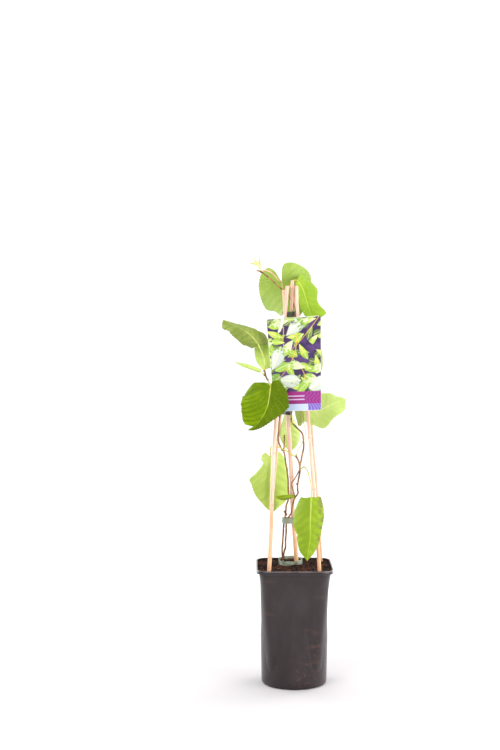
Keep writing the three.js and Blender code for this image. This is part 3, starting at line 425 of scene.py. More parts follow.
class Finish:
    """A material under construction: its tree, its coordinates and its surface shader."""

    def __init__(self, name: str) -> None:
        """Starts a material with one Principled shader.

        Args:
            name: The material's name.
        """
        self.material = bpy.data.materials.new(name)
        self.material.use_nodes = True
        self.tree = self.material.node_tree
        self.surface = self.tree.nodes["Principled BSDF"]

    def node(self, kind: str, settings: dict[str, Any] | None = None,
             inputs: dict[Any, Any] | None = None, output: Any = 0) -> Shade:
        """Adds a node.

        Args:
            kind: Blender's type name of the node.
            settings: Its own properties, set first.
            inputs: Values or links of its sockets.
            output: Which output to hand back.

        Returns:
            The chosen output.
        """
        added = self.tree.nodes.new(kind)
        for key, value in (settings or {}).items():
            setattr(added, key, value)
        for key, value in (inputs or {}).items():
            self.feed(added.inputs[key], value)
        return Shade(self, added.outputs[output])

    def feed(self, socket: bpy.types.NodeSocket, value: Any) -> None:
        """Links a shade to a socket, or sets the socket to a plain value.

        Args:
            socket: The socket.
            value: A shade or a plain value.
        """
        if isinstance(value, Shade):
            self.tree.links.new(value.socket, socket)
        else:
            socket.default_value = value

    def place(self) -> Shade:
        """Gives the point on the surface, in the model's own coordinates."""
        return self.node("ShaderNodeTexCoord", output="Object")

    def chart(self) -> tuple[Shade, Shade]:
        """Gives the two coordinates of the piece's own map."""
        split = self.node("ShaderNodeTexCoord", output="UV")
        return (self.part(split, "X"), self.part(split, "Y"))

    def part(self, vector: Shade, axis: str) -> Shade:
        """Gives one coordinate of a vector."""
        return self.node("ShaderNodeSeparateXYZ", None, {0: vector}, axis)

    def joined(self, x: Any, y: Any, z: Any = 0.0) -> Shade:
        """Makes a vector of three values."""
        return self.node("ShaderNodeCombineXYZ", None, {0: x, 1: y, 2: z})

    def stretched(self, vector: Shade, scale: Point) -> Shade:
        """Scales a vector along each axis."""
        return self.node("ShaderNodeMapping", None, {"Vector": vector, "Scale": scale})

    def cloud(self, vector: Shade, scale: float, detail: float = 3.0,
              stretch: Point | None = None) -> Shade:
        """Makes soft noise.

        Args:
            vector: The place that it is read at.
            scale: How fine it is.
            detail: How many finer layers it has.
            stretch: Scale along each axis, or None.

        Returns:
            The noise, from 0 to 1.
        """
        place = self.stretched(vector, stretch) if stretch else vector
        inputs = {"Vector": place, "Scale": scale, "Detail": detail}
        return self.node("ShaderNodeTexNoise", None, inputs)

    def cells(self, vector: Shade, scale: float, feature: str = "DISTANCE_TO_EDGE") -> Shade:
        """Gives the distance to the edges or middles of irregular cells."""
        inputs = {"Vector": vector, "Scale": scale}
        return self.node("ShaderNodeTexVoronoi", {"feature": feature}, inputs)

    def mix(self, first: Any, second: Any, share: Any) -> Shade:
        """Mixes two colours by a share."""
        inputs = {"Factor": share, 6: first, 7: second}
        return self.node("ShaderNodeMix", {"data_type": "RGBA"}, inputs, 2)

    def bump(self, height: Shade, strength: float, distance: float) -> None:
        """Gives the surface a relief.

        Args:
            height: The relief's height, from 0 to 1.
            strength: How much of it shows.
            distance: Its depth in millimetres.
        """
        inputs = {"Height": height, "Strength": strength, "Distance": distance * MM}
        self.feed(self.surface.inputs["Normal"], self.node("ShaderNodeBump", None, inputs))

    def paint(self, colour: Shade, roughness: Any, **values: Any) -> Material:
        """Feeds the surface shader's sockets.

        Args:
            colour: The base colour.
            roughness: The roughness, as a value or a shade.
            values: Other socket names, with _ for a space, and their values.

        Returns:
            The finished material.
        """
        values = {"Base_Color": colour, "Roughness": roughness, **values}
        for key, value in values.items():
            self.feed(self.surface.inputs[key.replace("_", " ")], value)
        return self.material


@dataclass(frozen=True)
class PotPlastic:
    """Satin black plastic, with dried reddish smears of compost and a painted lip highlight."""

    body: Colour = tone(36, 26, 28)
    dust: Colour = tone(54, 44, 47)
    smear: Colour = tone(92, 60, 50)
    # Colour of the painted highlight along the lip's top edge.
    rim_highlight: Colour = tone(128, 122, 124)
    rim: float = 0.2128
    roughness: float = 0.3

    def material(self) -> Material:
        """Makes the plastic.

        Returns:
            The material.
        """
        finish = Finish("pot_plastic")
        place = finish.place()
        height = finish.part(place, "Z")
        fine = finish.cloud(place, 60, 6, (1, 1, 0.35))
        wide = finish.cloud(place, 14, 4, (1, 1, 0.5))
        flat = finish.cloud(place, 70, 4, (0.35, 0.35, 1))
        low = 1.0 - height.step(0.04, 0.12)
        specks = finish.cloud(place, 190, 4).step(0.56, 0.72) * wide.step(0.42, 0.62)
        smears = (flat + wide * 0.5).step(0.86, 1.02) * 0.45 + specks * low * 0.8
        dust = fine.step(0.4, 0.75) * 0.5
        colour = finish.mix(finish.mix(self.body, self.dust, dust), self.smear, smears * 0.75)
        # Painted highlight: a thin pale line along the lip's top edge, broken up by noise.
        rim_highlight = height.step(self.rim, self.rim + 0.0008) * (fine * 1.4).step(0.3, 0.8)
        colour = finish.mix(colour, self.rim_highlight, rim_highlight * 0.8)
        grain = finish.cloud(place, 900, 2)
        finish.bump(grain, 0.12, 0.2)
        rough = wide * 0.08 + (self.roughness - 0.04) + smears * 0.3
        return finish.paint(colour, rough, Specular_IOR_Level=0.42)


@dataclass(frozen=True)
class Compost:
    """Dark compost of bark, peat and reddish fibres."""

    deep: Colour = tone(17, 11, 8)
    warm: Colour = tone(66, 36, 24)
    pale: Colour = tone(150, 104, 74)

    def material(self) -> Material:
        """Makes the compost.

        Returns:
            The material.
        """
        finish = Finish("compost")
        place = finish.place()
        patch = finish.cloud(place, 55, 5)
        crumb = finish.cells(place, 420, "F1")
        fleck = finish.cells(finish.stretched(place, (1, 0.3, 1)), 260, "F1")
        colour = finish.mix(self.deep, self.warm, patch.step(0.44, 0.68))
        colour = finish.mix(colour, self.pale, fleck.step(0.22, 0.1) * 0.5)
        finish.bump(crumb, 0.8, 1.2)
        return finish.paint(colour, 0.95, Specular_IOR_Level=0.15)


@dataclass(frozen=True)
class Chips:
    """Bits of bark and coir on the compost, each in its own brown."""

    dark: Colour = tone(26, 14, 10)
    light: Colour = tone(150, 88, 54)

    def material(self) -> Material:
        """Makes the chips.

        Returns:
            The material.
        """
        finish = Finish("chips")
        place = finish.place()
        patch = finish.cells(place, 130, "F1")
        share = finish.cloud(place, 210, 2).step(0.42, 0.72)
        colour = finish.mix(self.dark, self.light, share * patch.step(0.0, 0.8))
        return finish.paint(colour, 0.9, Specular_IOR_Level=0.15)


@dataclass(frozen=True)
class Fibre:
    """Pressed pale fibre of the plug's sleeve, stained by the soil."""

    clean: Colour = tone(152, 162, 142)
    stain: Colour = tone(66, 56, 44)

    def material(self) -> Material:
        """Makes the fibre.

        Returns:
            The material.
        """
        finish = Finish("sleeve_fibre")
        place = finish.place()
        mesh = finish.cells(finish.stretched(place, (1, 1, 0.4)), 700)
        stain = finish.cloud(place, 90, 5).step(0.4, 0.7) * 0.8
        finish.bump(mesh, 0.5, 0.4)
        return finish.paint(finish.mix(self.clean, self.stain, stain), 0.9)


@dataclass(frozen=True)
class Bamboo:
    """Pinkish peeled bamboo, with fine streaks, brown node rings and orange feet."""

    light: Colour = tone(232, 200, 180)
    streak: Colour = tone(212, 164, 136)
    ring: Colour = tone(184, 130, 94)
    foot: Colour = tone(226, 164, 100)
    pitch: float = 92.0
    first: float = 70.0

    def material(self, name: str) -> Material:
        """Makes the bamboo.

        Args:
            name: The material's name.

        Returns:
            The material.
        """
        finish = Finish(name)
        place = finish.place()
        _, along = finish.chart()
        streaks = finish.cloud(place, 520, 4, (1, 1, 0.03))
        patch = finish.cloud(place, 45, 3, (1, 1, 0.25))
        colour = finish.mix(self.light, self.streak, (streaks + patch * 0.5).step(0.62, 0.98))
        low = finish.part(place, "Z").step(0.36, 0.225)
        colour = finish.mix(colour, self.foot, low * (0.45 + patch * 0.4))
        turn = ((along * 1000 - self.first) / self.pitch + 20).math("FRACT")
        near = abs(turn - 0.5).step(0.5 - 1.6 / self.pitch, 0.5 - 0.3 / self.pitch)
        colour = finish.mix(colour, self.ring, near * (0.1 + streaks * 0.45))
        finish.bump(streaks, 0.25, 0.3)
        return finish.paint(colour, 0.42 + streaks * 0.2)


@dataclass(frozen=True)
class Tape:
    """Tying tape wound round the canes, a little creased."""

    name: str = "tape_dark"
    colour: Colour = tone(74, 78, 66)
    sheen: Colour = tone(150, 154, 140)
    roughness: float = 0.3

    def material(self) -> Material:
        """Makes the tape.

        Returns:
            The material.
        """
        finish = Finish(self.name)
        place = finish.place()
        crease = finish.cloud(place, 70, 3, (1, 1, 6))
        finish.bump(crease, 0.5, 0.6)
        colour = finish.mix(self.colour, self.sheen, crease.step(0.5, 0.8) * 0.5)
        return finish.paint(colour, crease * 0.3 + self.roughness - 0.1)


@dataclass(frozen=True)
class Strap:
    """White plastic strap."""

    colour: Colour = tone(206, 211, 202)

    def material(self) -> Material:
        """Makes the strap's plastic.

        Returns:
            The material.
        """
        finish = Finish("strap_white")
        place = finish.place()
        grain = finish.cloud(place, 300, 2, (1, 1, 0.2))
        finish.bump(grain, 0.2, 0.2)
        shade = finish.mix(self.colour, tone(190, 196, 188), grain.step(0.5, 0.8) * 0.6)
        return finish.paint(shade, 0.38)


@dataclass(frozen=True)
class Bark:
    """Smooth reddish-brown bark with paler spots."""

    name: str = "vine_bark"
    dark: Colour = tone(104, 66, 30)
    light: Colour = tone(178, 128, 66)
    spot: Colour = tone(208, 170, 110)

    def material(self) -> Material:
        """Makes the bark.

        Returns:
            The material.
        """
        finish = Finish(self.name)
        place = finish.place()
        streaks = finish.cloud(place, 260, 4, (1, 1, 0.2))
        spots = finish.cells(place, 420, "F1").step(0.22, 0.1)
        colour = finish.mix(self.dark, self.light, streaks.step(0.36, 0.66))
        colour = finish.mix(colour, self.spot, spots * 0.7)
        finish.bump(streaks + spots * 0.4, 0.4, 0.4)
        return finish.paint(colour, 0.6)


@dataclass(frozen=True)
class Stalk:
    """Smooth leaf stalk, in its own colours."""

    name: str
    light: Colour
    dark: Colour

    @functools.cache
    def material(self) -> Material:
        """Makes the stalk.

        Returns:
            The material.
        """
        finish = Finish(self.name)
        place = finish.place()
        shade = finish.cloud(place, 160, 3, (1, 1, 0.3))
        colour = finish.mix(self.light, self.dark, shade.step(0.35, 0.7))
        return finish.paint(colour, 0.45)


@dataclass(frozen=True)
class Veins:
    """The run of a blade's side veins, in shares of its length.

    Attributes:
        pairs: How many pairs leave the midrib.
        lean: How far forward a vein leans.
        bend: How much more it leans further out.
        rays: How closely the veins fan out into the lobes.
        skew: How much more they lean on the right half.
    """

    pairs: float = 7.0
    lean: float = 0.5
    bend: float = 0.3
    rays: float = 1.6
    skew: float = 0.0

    def rise(self, share: float, wide: float, right: float) -> float:
        """Counts the veins up to a point.

        Args:
            share: Share along the blade.
            wide: Distance from the midrib, as a share of the length.
            right: 1 on the right half and 0 on the left one.

        Returns:
            The count, a fraction between two veins.
        """
        ahead = share - (self.lean + right * self.skew) * wide - self.bend * wide * wide
        return max(ahead, 0) * self.pairs + min(ahead, 0) / max(wide, 0.02) * self.rays

    def shade(self, share: Shade, wide: Shade, right: Shade) -> Shade:
        """Does the same count inside a material.

        Args:
            share: Share along the blade.
            wide: Distance from the midrib.
            right: 1 on the right half.

        Returns:
            The count.
        """
        ahead = share - wide * (right * self.skew + self.lean) - wide * wide * self.bend
        fan = ahead.math("MINIMUM", 0.0) / wide.math("MAXIMUM", 0.02)
        return ahead.math("MAXIMUM", 0.0) * self.pairs + fan * self.rays


@dataclass(frozen=True)
class BladeFinish:
    """One side of a leaf blade: its greens, its net of veins and its gloss."""

    name: str
    green: Colour
    shade: Colour
    vein: Colour
    roughness: float
    relief: float = 0.5
    veins: Veins = Veins()
    show: float = 0.6
    # How strongly painted shade darkens one half of the blade.
    painted_half_shade: float = 0.0
    gloss: float = 0.16
    blemish: float = 0.0
    # Colour that the painted shade on one half darkens towards.
    dark: Colour = tone(70, 92, 4)
    brown: Colour = tone(116, 110, 62)

    def under(self) -> "BladeFinish":
        """Dulls and pales the finish for the lower side of the same blade.

        Returns:
            The lower side's finish.
        """
        green, shade, vein = (
            tuple(blend(part, pale, 0.3) for part, pale in zip(colour, tone(214, 222, 178)))
            for colour in (self.green, self.shade, self.vein)
        )
        return replace(self, name=f"{self.name}_under", green=green, shade=shade, vein=vein,
                       roughness=0.65)

    @functools.cache
    def material(self) -> Material:
        """Makes the blade.

        The blade's map is its true shape, with the midrib in the middle across.

        Returns:
            The material.
        """
        finish = Finish(self.name)
        place = finish.place()
        across, along = finish.chart()
        wide = abs(across - 0.5) * 2
        share = along * 1.5 - 0.5
        broad = finish.cloud(place, 30, 3)
        fine = finish.cloud(place, 260, 3)
        right = across.step(0.499, 0.501)
        rise = self.veins.shade(share, wide, right) + broad * 0.3 + fine * 0.08
        reach = 0.5 - abs(rise.math("FRACT") - 0.5)
        side = reach.step(0.045, 0.008) * wide.step(1.1, 0.1)
        midrib = (wide + share * 0.012).step(0.021, 0.007)
        rungs = finish.cells(finish.joined(rise * 1.3, wide * 24), 1.0).step(0.06, 0.0)
        net = finish.cells(place, 420).step(0.1, 0.0)
        veins = side.math("MAXIMUM", midrib)
        net = (rungs * 0.6).math("MAXIMUM", net * 0.3)
        # Noise mottling, plus painted shade in the grooves along the veins.
        mottle_and_groove_shade = (broad * 0.9 + fine * 0.3 + reach.step(0.22, 0.0) * 0.3 + 0.08).step(0.42, 0.9)
        colour = finish.mix(self.green, self.shade, mottle_and_groove_shade)
        # Painted shade: the left half of the blade darkens, for the half turned from the light.
        colour = finish.mix(colour, self.dark, across.step(0.52, 0.48) * self.painted_half_shade)
        blot = finish.cloud(place, 110, 4).step(0.46, 0.56) * across.step(0.462, 0.435)
        colour = finish.mix(colour, self.brown, blot * self.blemish)
        lines = (side * self.show).math("MAXIMUM", midrib * 0.8)
        lines = lines.math("MAXIMUM", net * 0.8 * self.show)
        colour = finish.mix(colour, self.vein, lines)
        height = 1.0 - (veins * 0.8).math("MAXIMUM", net * 0.55) + fine * 0.15
        finish.bump(height, self.relief, 0.8)
        return finish.paint(colour, fine * 0.2 + self.roughness - 0.1,
                            Specular_IOR_Level=self.gloss)


class LeafLook(Enum):
    """The ways that the leaves of this plant look, by age and light."""

    DARK = "dark"
    GREEN = "green"
    BRIGHT = "bright"
    OLIVE = "olive"
    SOFT = "soft"
    PALE = "pale"
    SUNLIT = "sunlit"

    @property
    def slot(self) -> str:
        """Names the kind of leaf surface that this look belongs to.

        Returns:
            The record's slot.
        """
        if self in (LeafLook.GREEN, LeafLook.BRIGHT):
            return "leaf_green"
        return "leaf_dark" if self is LeafLook.DARK else "leaf_pale"


UPPER_SIDES = {
    look: BladeFinish(f"leaf_{look.value}", tone(*green), tone(*shade), tone(*vein), *rest)
    for look, green, shade, vein, *rest in (
        (LeafLook.DARK, (131, 159, 8), (86, 114, 0), (158, 178, 48), 0.45, 0.9,
         Veins(6.0, 0.55, 0.2, skew=0.8), 0.4, 0.75, 0.05),
        (LeafLook.GREEN, (146, 172, 34), (118, 148, 16), (184, 202, 76), 0.5, 0.5,
         Veins(7.5, 0.7, 0.2), 0.4, 0.0, 0.16, 0.8),
        (LeafLook.BRIGHT, (152, 182, 48), (124, 158, 28), (190, 210, 92), 0.5, 0.5,
         Veins(6.0, 0.55, 0.3), 0.5),
        (LeafLook.OLIVE, (146, 160, 80), (116, 134, 48), (152, 166, 84), 0.5, 0.7,
         Veins(6.5, 0.6, 0.3), 0.55),
        (LeafLook.SOFT, (162, 188, 82), (136, 164, 60), (198, 214, 134), 0.45, 0.55,
         Veins(5.5, 0.45, 0.3), 0.55),
        (LeafLook.PALE, (184, 206, 102), (162, 190, 80), (208, 224, 142), 0.55, 0.45,
         Veins(6.0, 0.55, 0.3), 0.5),
        (LeafLook.SUNLIT, (190, 210, 122), (168, 192, 96), (212, 226, 150), 0.55, 0.45,
         Veins(6.5, 0.6, 0.3), 0.5),
    )
}
UNDER_SIDES = {look: finish.under() for look, finish in UPPER_SIDES.items()}
VEINS = {look: finish.veins for look, finish in UPPER_SIDES.items()}
GREEN_STALK = Stalk("stalk_green", tone(196, 200, 110), tone(168, 160, 70))
PINK_STALK = Stalk("stalk_pink", tone(232, 190, 160), tone(214, 150, 120))
YELLOW_STALK = Stalk("stalk_yellow", tone(214, 200, 84), tone(190, 170, 60))


@dataclass(frozen=True)
class Foliage:
    """A layer of painted leaves, one to each cell of an uneven net over the card.

    Attributes:
        pitch: Distance between leaves in millimetres.
        shift: How far the net is moved.
        lean: Direction of the leaves in radians.
        slim: Width of a leaf against its length.
        ground: Colour of a leaf.
        mottle: Colour of its mottled part.
        split: Where that part starts.
        share: Share of the cells that have a leaf.
    """

    pitch: float
    shift: float
    lean: float
    slim: float
    ground: Colour
    mottle: Colour
    split: float = 0.0
    share: float = 1.0

    def over(self, finish: Finish, x: Shade, y: Shade, under: Shade) -> Shade:
        """Paints the layer over what is there.

        Args:
            finish: The material being made.
            x: Place across the card in millimetres.
            y: Place up it.
            under: The colour below the layer.

        Returns:
            The colour with the leaves on it.
        """
        spot = finish.joined(x + self.shift, y + self.shift * 1.7)
        chance = finish.node("ShaderNodeTexVoronoi", {"voronoi_dimensions": "2D"},
                             {"Vector": spot, "Scale": 1 / self.pitch, "Randomness": 0.75},
                             "Color")
        middle = Shade(finish, chance.socket.node.outputs["Position"])
        offset = finish.node("ShaderNodeVectorMath", {"operation": "SUBTRACT"},
                             {0: spot, 1: middle})
        dx, dy = finish.part(offset, "X"), finish.part(offset, "Y")
        turn = finish.part(chance, "X") * 1.6 + (self.lean - 0.8)
        run, rise = turn.math("COSINE"), turn.math("SINE")
        size = self.pitch * 0.56
        along = (dx * run + dy * rise) / size
        across = (dy * run - dx * rise) / (size * self.slim) + along * along * 0.18
        wide = abs(across)
        room = (1.0 - along * along) * (1.0 - along * 0.4) - wide
        inside = room.step(0.0, 0.07) * finish.part(chance, "Y").math("LESS_THAN", self.share)
        blot = finish.cloud(spot, 0.22, 4) * 1.6 + finish.part(chance, "Z") * 0.7 - 1.15
        colour = finish.mix(self.ground, self.mottle,
                            (along * 0.5 + blot - self.split).step(-0.07, 0.07))
        vein = abs(((along - wide * 0.3) * 3.5).math("FRACT") - 0.5).step(0.12, 0.02)
        vein = (vein * 0.35).math("MAXIMUM", wide.step(0.13, 0.04))
        colour = finish.mix(colour, tone(236, 238, 190), vein * 0.55)
        dull = across.step(-0.1, 0.1) * 0.16 + room.step(0.3, 0.0) * 0.3
        return finish.mix(under, finish.mix(colour, tone(70, 92, 40), dull), inside)


@dataclass(frozen=True)
class LabelPrint:
    """A printed card: variegated leaves on a violet ground over two bands of colour."""

    dark: Colour = tone(50, 28, 74)
    light: Colour = tone(84, 56, 112)
    stems: Colour = tone(226, 176, 70)
    band: Colour = tone(146, 26, 112)
    strip: Colour = tone(188, 200, 232)
    block: Colour = tone(112, 84, 176)
    pale: Colour = tone(214, 206, 236)
    edge: Colour = tone(232, 232, 230)
    width: float = 97.0
    height: float = 165.0
    band_top: float = 34.0
    strip_top: float = 12.0
    block_side: float = 70.0
    back: tuple[Foliage, ...] = (
        Foliage(24, 13, 0.5, 0.42, tone(84, 104, 40), tone(126, 150, 56), 0.2, 0.85),
        Foliage(30, 31, 2.6, 0.36, tone(150, 186, 46), tone(196, 214, 84), 0.1, 0.8),
        Foliage(27, 71, 0.2, 0.34, tone(168, 200, 60), tone(214, 226, 150), 0.15, 0.7),
    )
    front: tuple[Foliage, ...] = (
        Foliage(34, 57, 0.3, 0.42, tone(150, 188, 66), tone(214, 222, 176), 0.0, 0.75),
        Foliage(44, 104, 3.6, 0.48, tone(122, 160, 60), tone(206, 212, 202), -0.25, 0.55),
    )

    def material(self) -> Material:
        """Prints the card.

        Returns:
            The material.
        """
        finish = Finish("label_print")
        u, v = finish.chart()
        x, y = u * self.width, v * self.height
        murk = finish.cloud(finish.joined(x, y), 0.05, 4)
        colour = finish.mix(self.dark, self.light, murk.step(0.42, 0.7))
        for layer in self.back:
            colour = layer.over(finish, x, y, colour)
        for slope, foot, wave in ((0.5, 4, 0.05), (-0.4, 70, 0.07), (1.1, -52, 0.04)):
            line = abs(x - foot - (y - 30) * slope + (y * wave).math("SINE") * 8)
            colour = finish.mix(colour, self.stems, line.step(1.1, 0.4) * 0.8)
        for layer in self.front:
            colour = layer.over(finish, x, y, colour)
        swirl = (x * 0.9 + (y * 0.22 + x * 0.05).math("SINE") * 5).math("SINE").step(0.1, 0.9)
        band = finish.mix(self.band, self.block, swirl * x.step(44, 74) * 0.5)
        stripe = abs(abs(y - 23) - 3.0).step(1.3, 0.7) * abs(x - 36).step(28.0, 26.0)
        band = finish.mix(band, self.pale, stripe * 0.75)
        colour = finish.mix(colour, band, y.step(self.band_top + 0.2, self.band_top - 0.2))
        low = y.step(self.strip_top + 0.2, self.strip_top - 0.2)
        colour = finish.mix(colour, self.strip, low)
        right = x.step(self.block_side - 0.2, self.block_side + 0.2)
        colour = finish.mix(colour, finish.mix(self.block, self.pale, swirl * 0.3), low * right)
        half_width, half_height = self.width / 2, self.height / 2
        sides = abs(x - half_width).step(half_width - 0.6, half_width - 0.3)
        ends = abs(y - half_height).step(half_height - 0.6, half_height - 0.3)
        rim = sides.math("MAXIMUM", ends)
        colour = finish.mix(colour, self.edge, rim)
        gloss = finish.cloud(finish.joined(x, y), 0.3, 2)
        return finish.paint(colour, gloss * 0.1 + 0.3, Coat_Weight=0.15, Coat_Roughness=0.2)


@dataclass(frozen=True)
class DownyTip:
    """Cream young leaves, still rolled, with yellowish and brownish down."""

    cream: Colour = tone(226, 204, 130)
    brown: Colour = tone(190, 148, 70)

    def material(self) -> Material:
        """Makes the young leaves' down.

        Returns:
            The material.
        """
        finish = Finish("tip_cream")
        place = finish.place()
        patch = finish.cloud(place, 180, 4, (1, 1, 0.6))
        down = finish.cloud(place, 1500, 2)
        finish.bump(down, 0.6, 0.3)
        colour = finish.mix(self.cream, self.brown, patch.step(0.45, 0.72))
        return finish.paint(colour, 0.85)


# Pieces


def dress(piece: Piece, slot: str, nodes: Sequence[str],
          materials: Sequence[Material] = ()) -> Piece:
    """Hands a finished piece over to the model.

    Args:
        piece: The finished piece.
        slot: The kind of surface that the record gives it. Not used.
        nodes: The parts of the model that it stands for.
        materials: Materials to put on it.

    Returns:
        The same piece.
    """
    for material in materials:
        piece.data.materials.append(material)
    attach(piece, BODY)
    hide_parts(*nodes)
    LOG.info("%s: %d faces", piece.name, len(piece.data.polygons))
    return piece


@dataclass
class Pot:
    """Tall nursery pot, square with rounded corners at the mouth and round at the foot."""

    height: float = 214.0
    sections: tuple[Point, ...] = (
        (0, 54.5, 54.5), (1.2, 57.2, 57.2), (4, 58.8, 58.8), (90, 60.5, 58), (125, 59, 49),
        (150, 58.6, 40), (172, 60, 29), (190, 61.7, 22), (207.5, 64, 18),
    )
    lip: float = 68.5
    lip_corner: float = 23.0
    lip_drop: float = 6.5
    lip_wall: float = 2.5
    ledge: float = 208.2
    ledge_rise: float = 0.7
    wall: float = 1.8
    floor: float = 2.5
    drain: float = 4.0
    drain_circle: float = 38.0
    around: int = 192
    finish: PotPlastic = PotPlastic()

    @staticmethod
    def reach(angle: float, half: float, corner: float) -> float:
        """Gives the distance from the axis to a square with rounded corners.

        Args:
            angle: Direction in radians.
            half: Half of the square's width.
            corner: Radius of its corners.

        Returns:
            The distance.
        """
        folded = abs((angle + pi / 4) % (pi / 2) - pi / 4)
        flat = half - corner
        if half * tan(folded) <= flat:
            return half / cos(folded)
        along = flat * (cos(folded) + sin(folded))
        return along + sqrt(along * along - 2 * flat * flat + corner * corner)

    def section(self, height: float) -> Point:
        """Measures the outside.

        Args:
            height: Where, in millimetres.

        Returns:
            Height, half width and corner radius.
        """
        for low, high in zip(self.sections, self.sections[1:]):
            if height <= high[0]:
                share = (height - low[0]) / (high[0] - low[0])
                return (height, blend(low[1], high[1], share), blend(low[2], high[2], share))
        return self.sections[-1]

    def collar(self) -> Pair:
        """Gives the half width and corner radius of the opening inside the lip."""
        return self.lip - self.lip_wall, self.lip_corner - self.lip_wall

    def profile(self) -> list[Point]:
        """Lists the rings of the wall, from under the floor to on it.

        Returns:
            Height, half width and corner radius of each.
        """
        under = self.height - self.lip_drop
        levels = [0, 0.4, 1.2, 2.4, 4, *range(14, 206, 8), under]
        rows = [(0, 0, 0), (0, 30, 30), (0, 53.9, 53.9)]
        rows += [self.section(level) for level in levels]
        lip, corner = self.lip, self.lip_corner
        rows += [(under, lip - 0.6, corner - 0.6), (under + 0.2, lip - 0.15, corner - 0.15),
                 (under + 0.6, lip, corner), (self.height - 1, lip, corner),
                 (self.height - 0.3, lip - 0.3, corner - 0.3),
                 (self.height, lip - 1, corner - 1)]
        neck = self.sections[-1]
        inside, inner_corner = self.collar()
        rows += [(self.height, inside + 0.4, inner_corner + 0.4),
                 (self.height - 0.5, inside, inner_corner),
                 (self.ledge + self.ledge_rise, inside, inner_corner),
                 (self.ledge, neck[1] - self.wall, neck[2] - self.wall)]
        for level in reversed([*range(20, 206, 8), self.floor + 1, self.floor]):
            _, half, round_off = self.section(level)
            rows.append((level, half - self.wall, max(4.0, round_off - self.wall)))
        rows += [(self.floor, 30, 30), (self.floor, 0, 0)]
        return rows

    def build(self) -> Piece:
        """Rolls up the walls in one sheet and cuts the drain holes.

        Returns:
            The pot.
        """
        rows = self.profile()
        last = len(rows) - 1

        def place(turn: float, row: float) -> Vector:
            """Gives a point of the wall.

            Args:
                turn: Share of a full turn.
                row: Share of the rows.

            Returns:
                The point.
            """
            height, half, corner = rows[round(row * last)]
            angle = 2 * pi * turn
            far = self.reach(angle, half, min(corner, half)) if half else 0.0
            return Vector((far * cos(angle), far * sin(angle), height))

        piece = grid("nursery_pot", self.around, last, place)
        close(piece)
        for turn in (1, 3, 5, 7):
            angle = turn * pi / 4
            spot = Vector((cos(angle), sin(angle), 0)) * self.drain_circle * MM
            deselect()
            bpy.ops.mesh.primitive_cylinder_add(vertices=32, radius=self.drain * MM,
                                                depth=0.02, location=spot)
            carve(piece, bpy.context.object)
        soften(piece, 35)
        return piece

    def dress(self) -> None:
        """Builds the pot and gives it its finish."""
        dress(self.build(), "pot_plastic", ["pot"], [self.finish.material()])


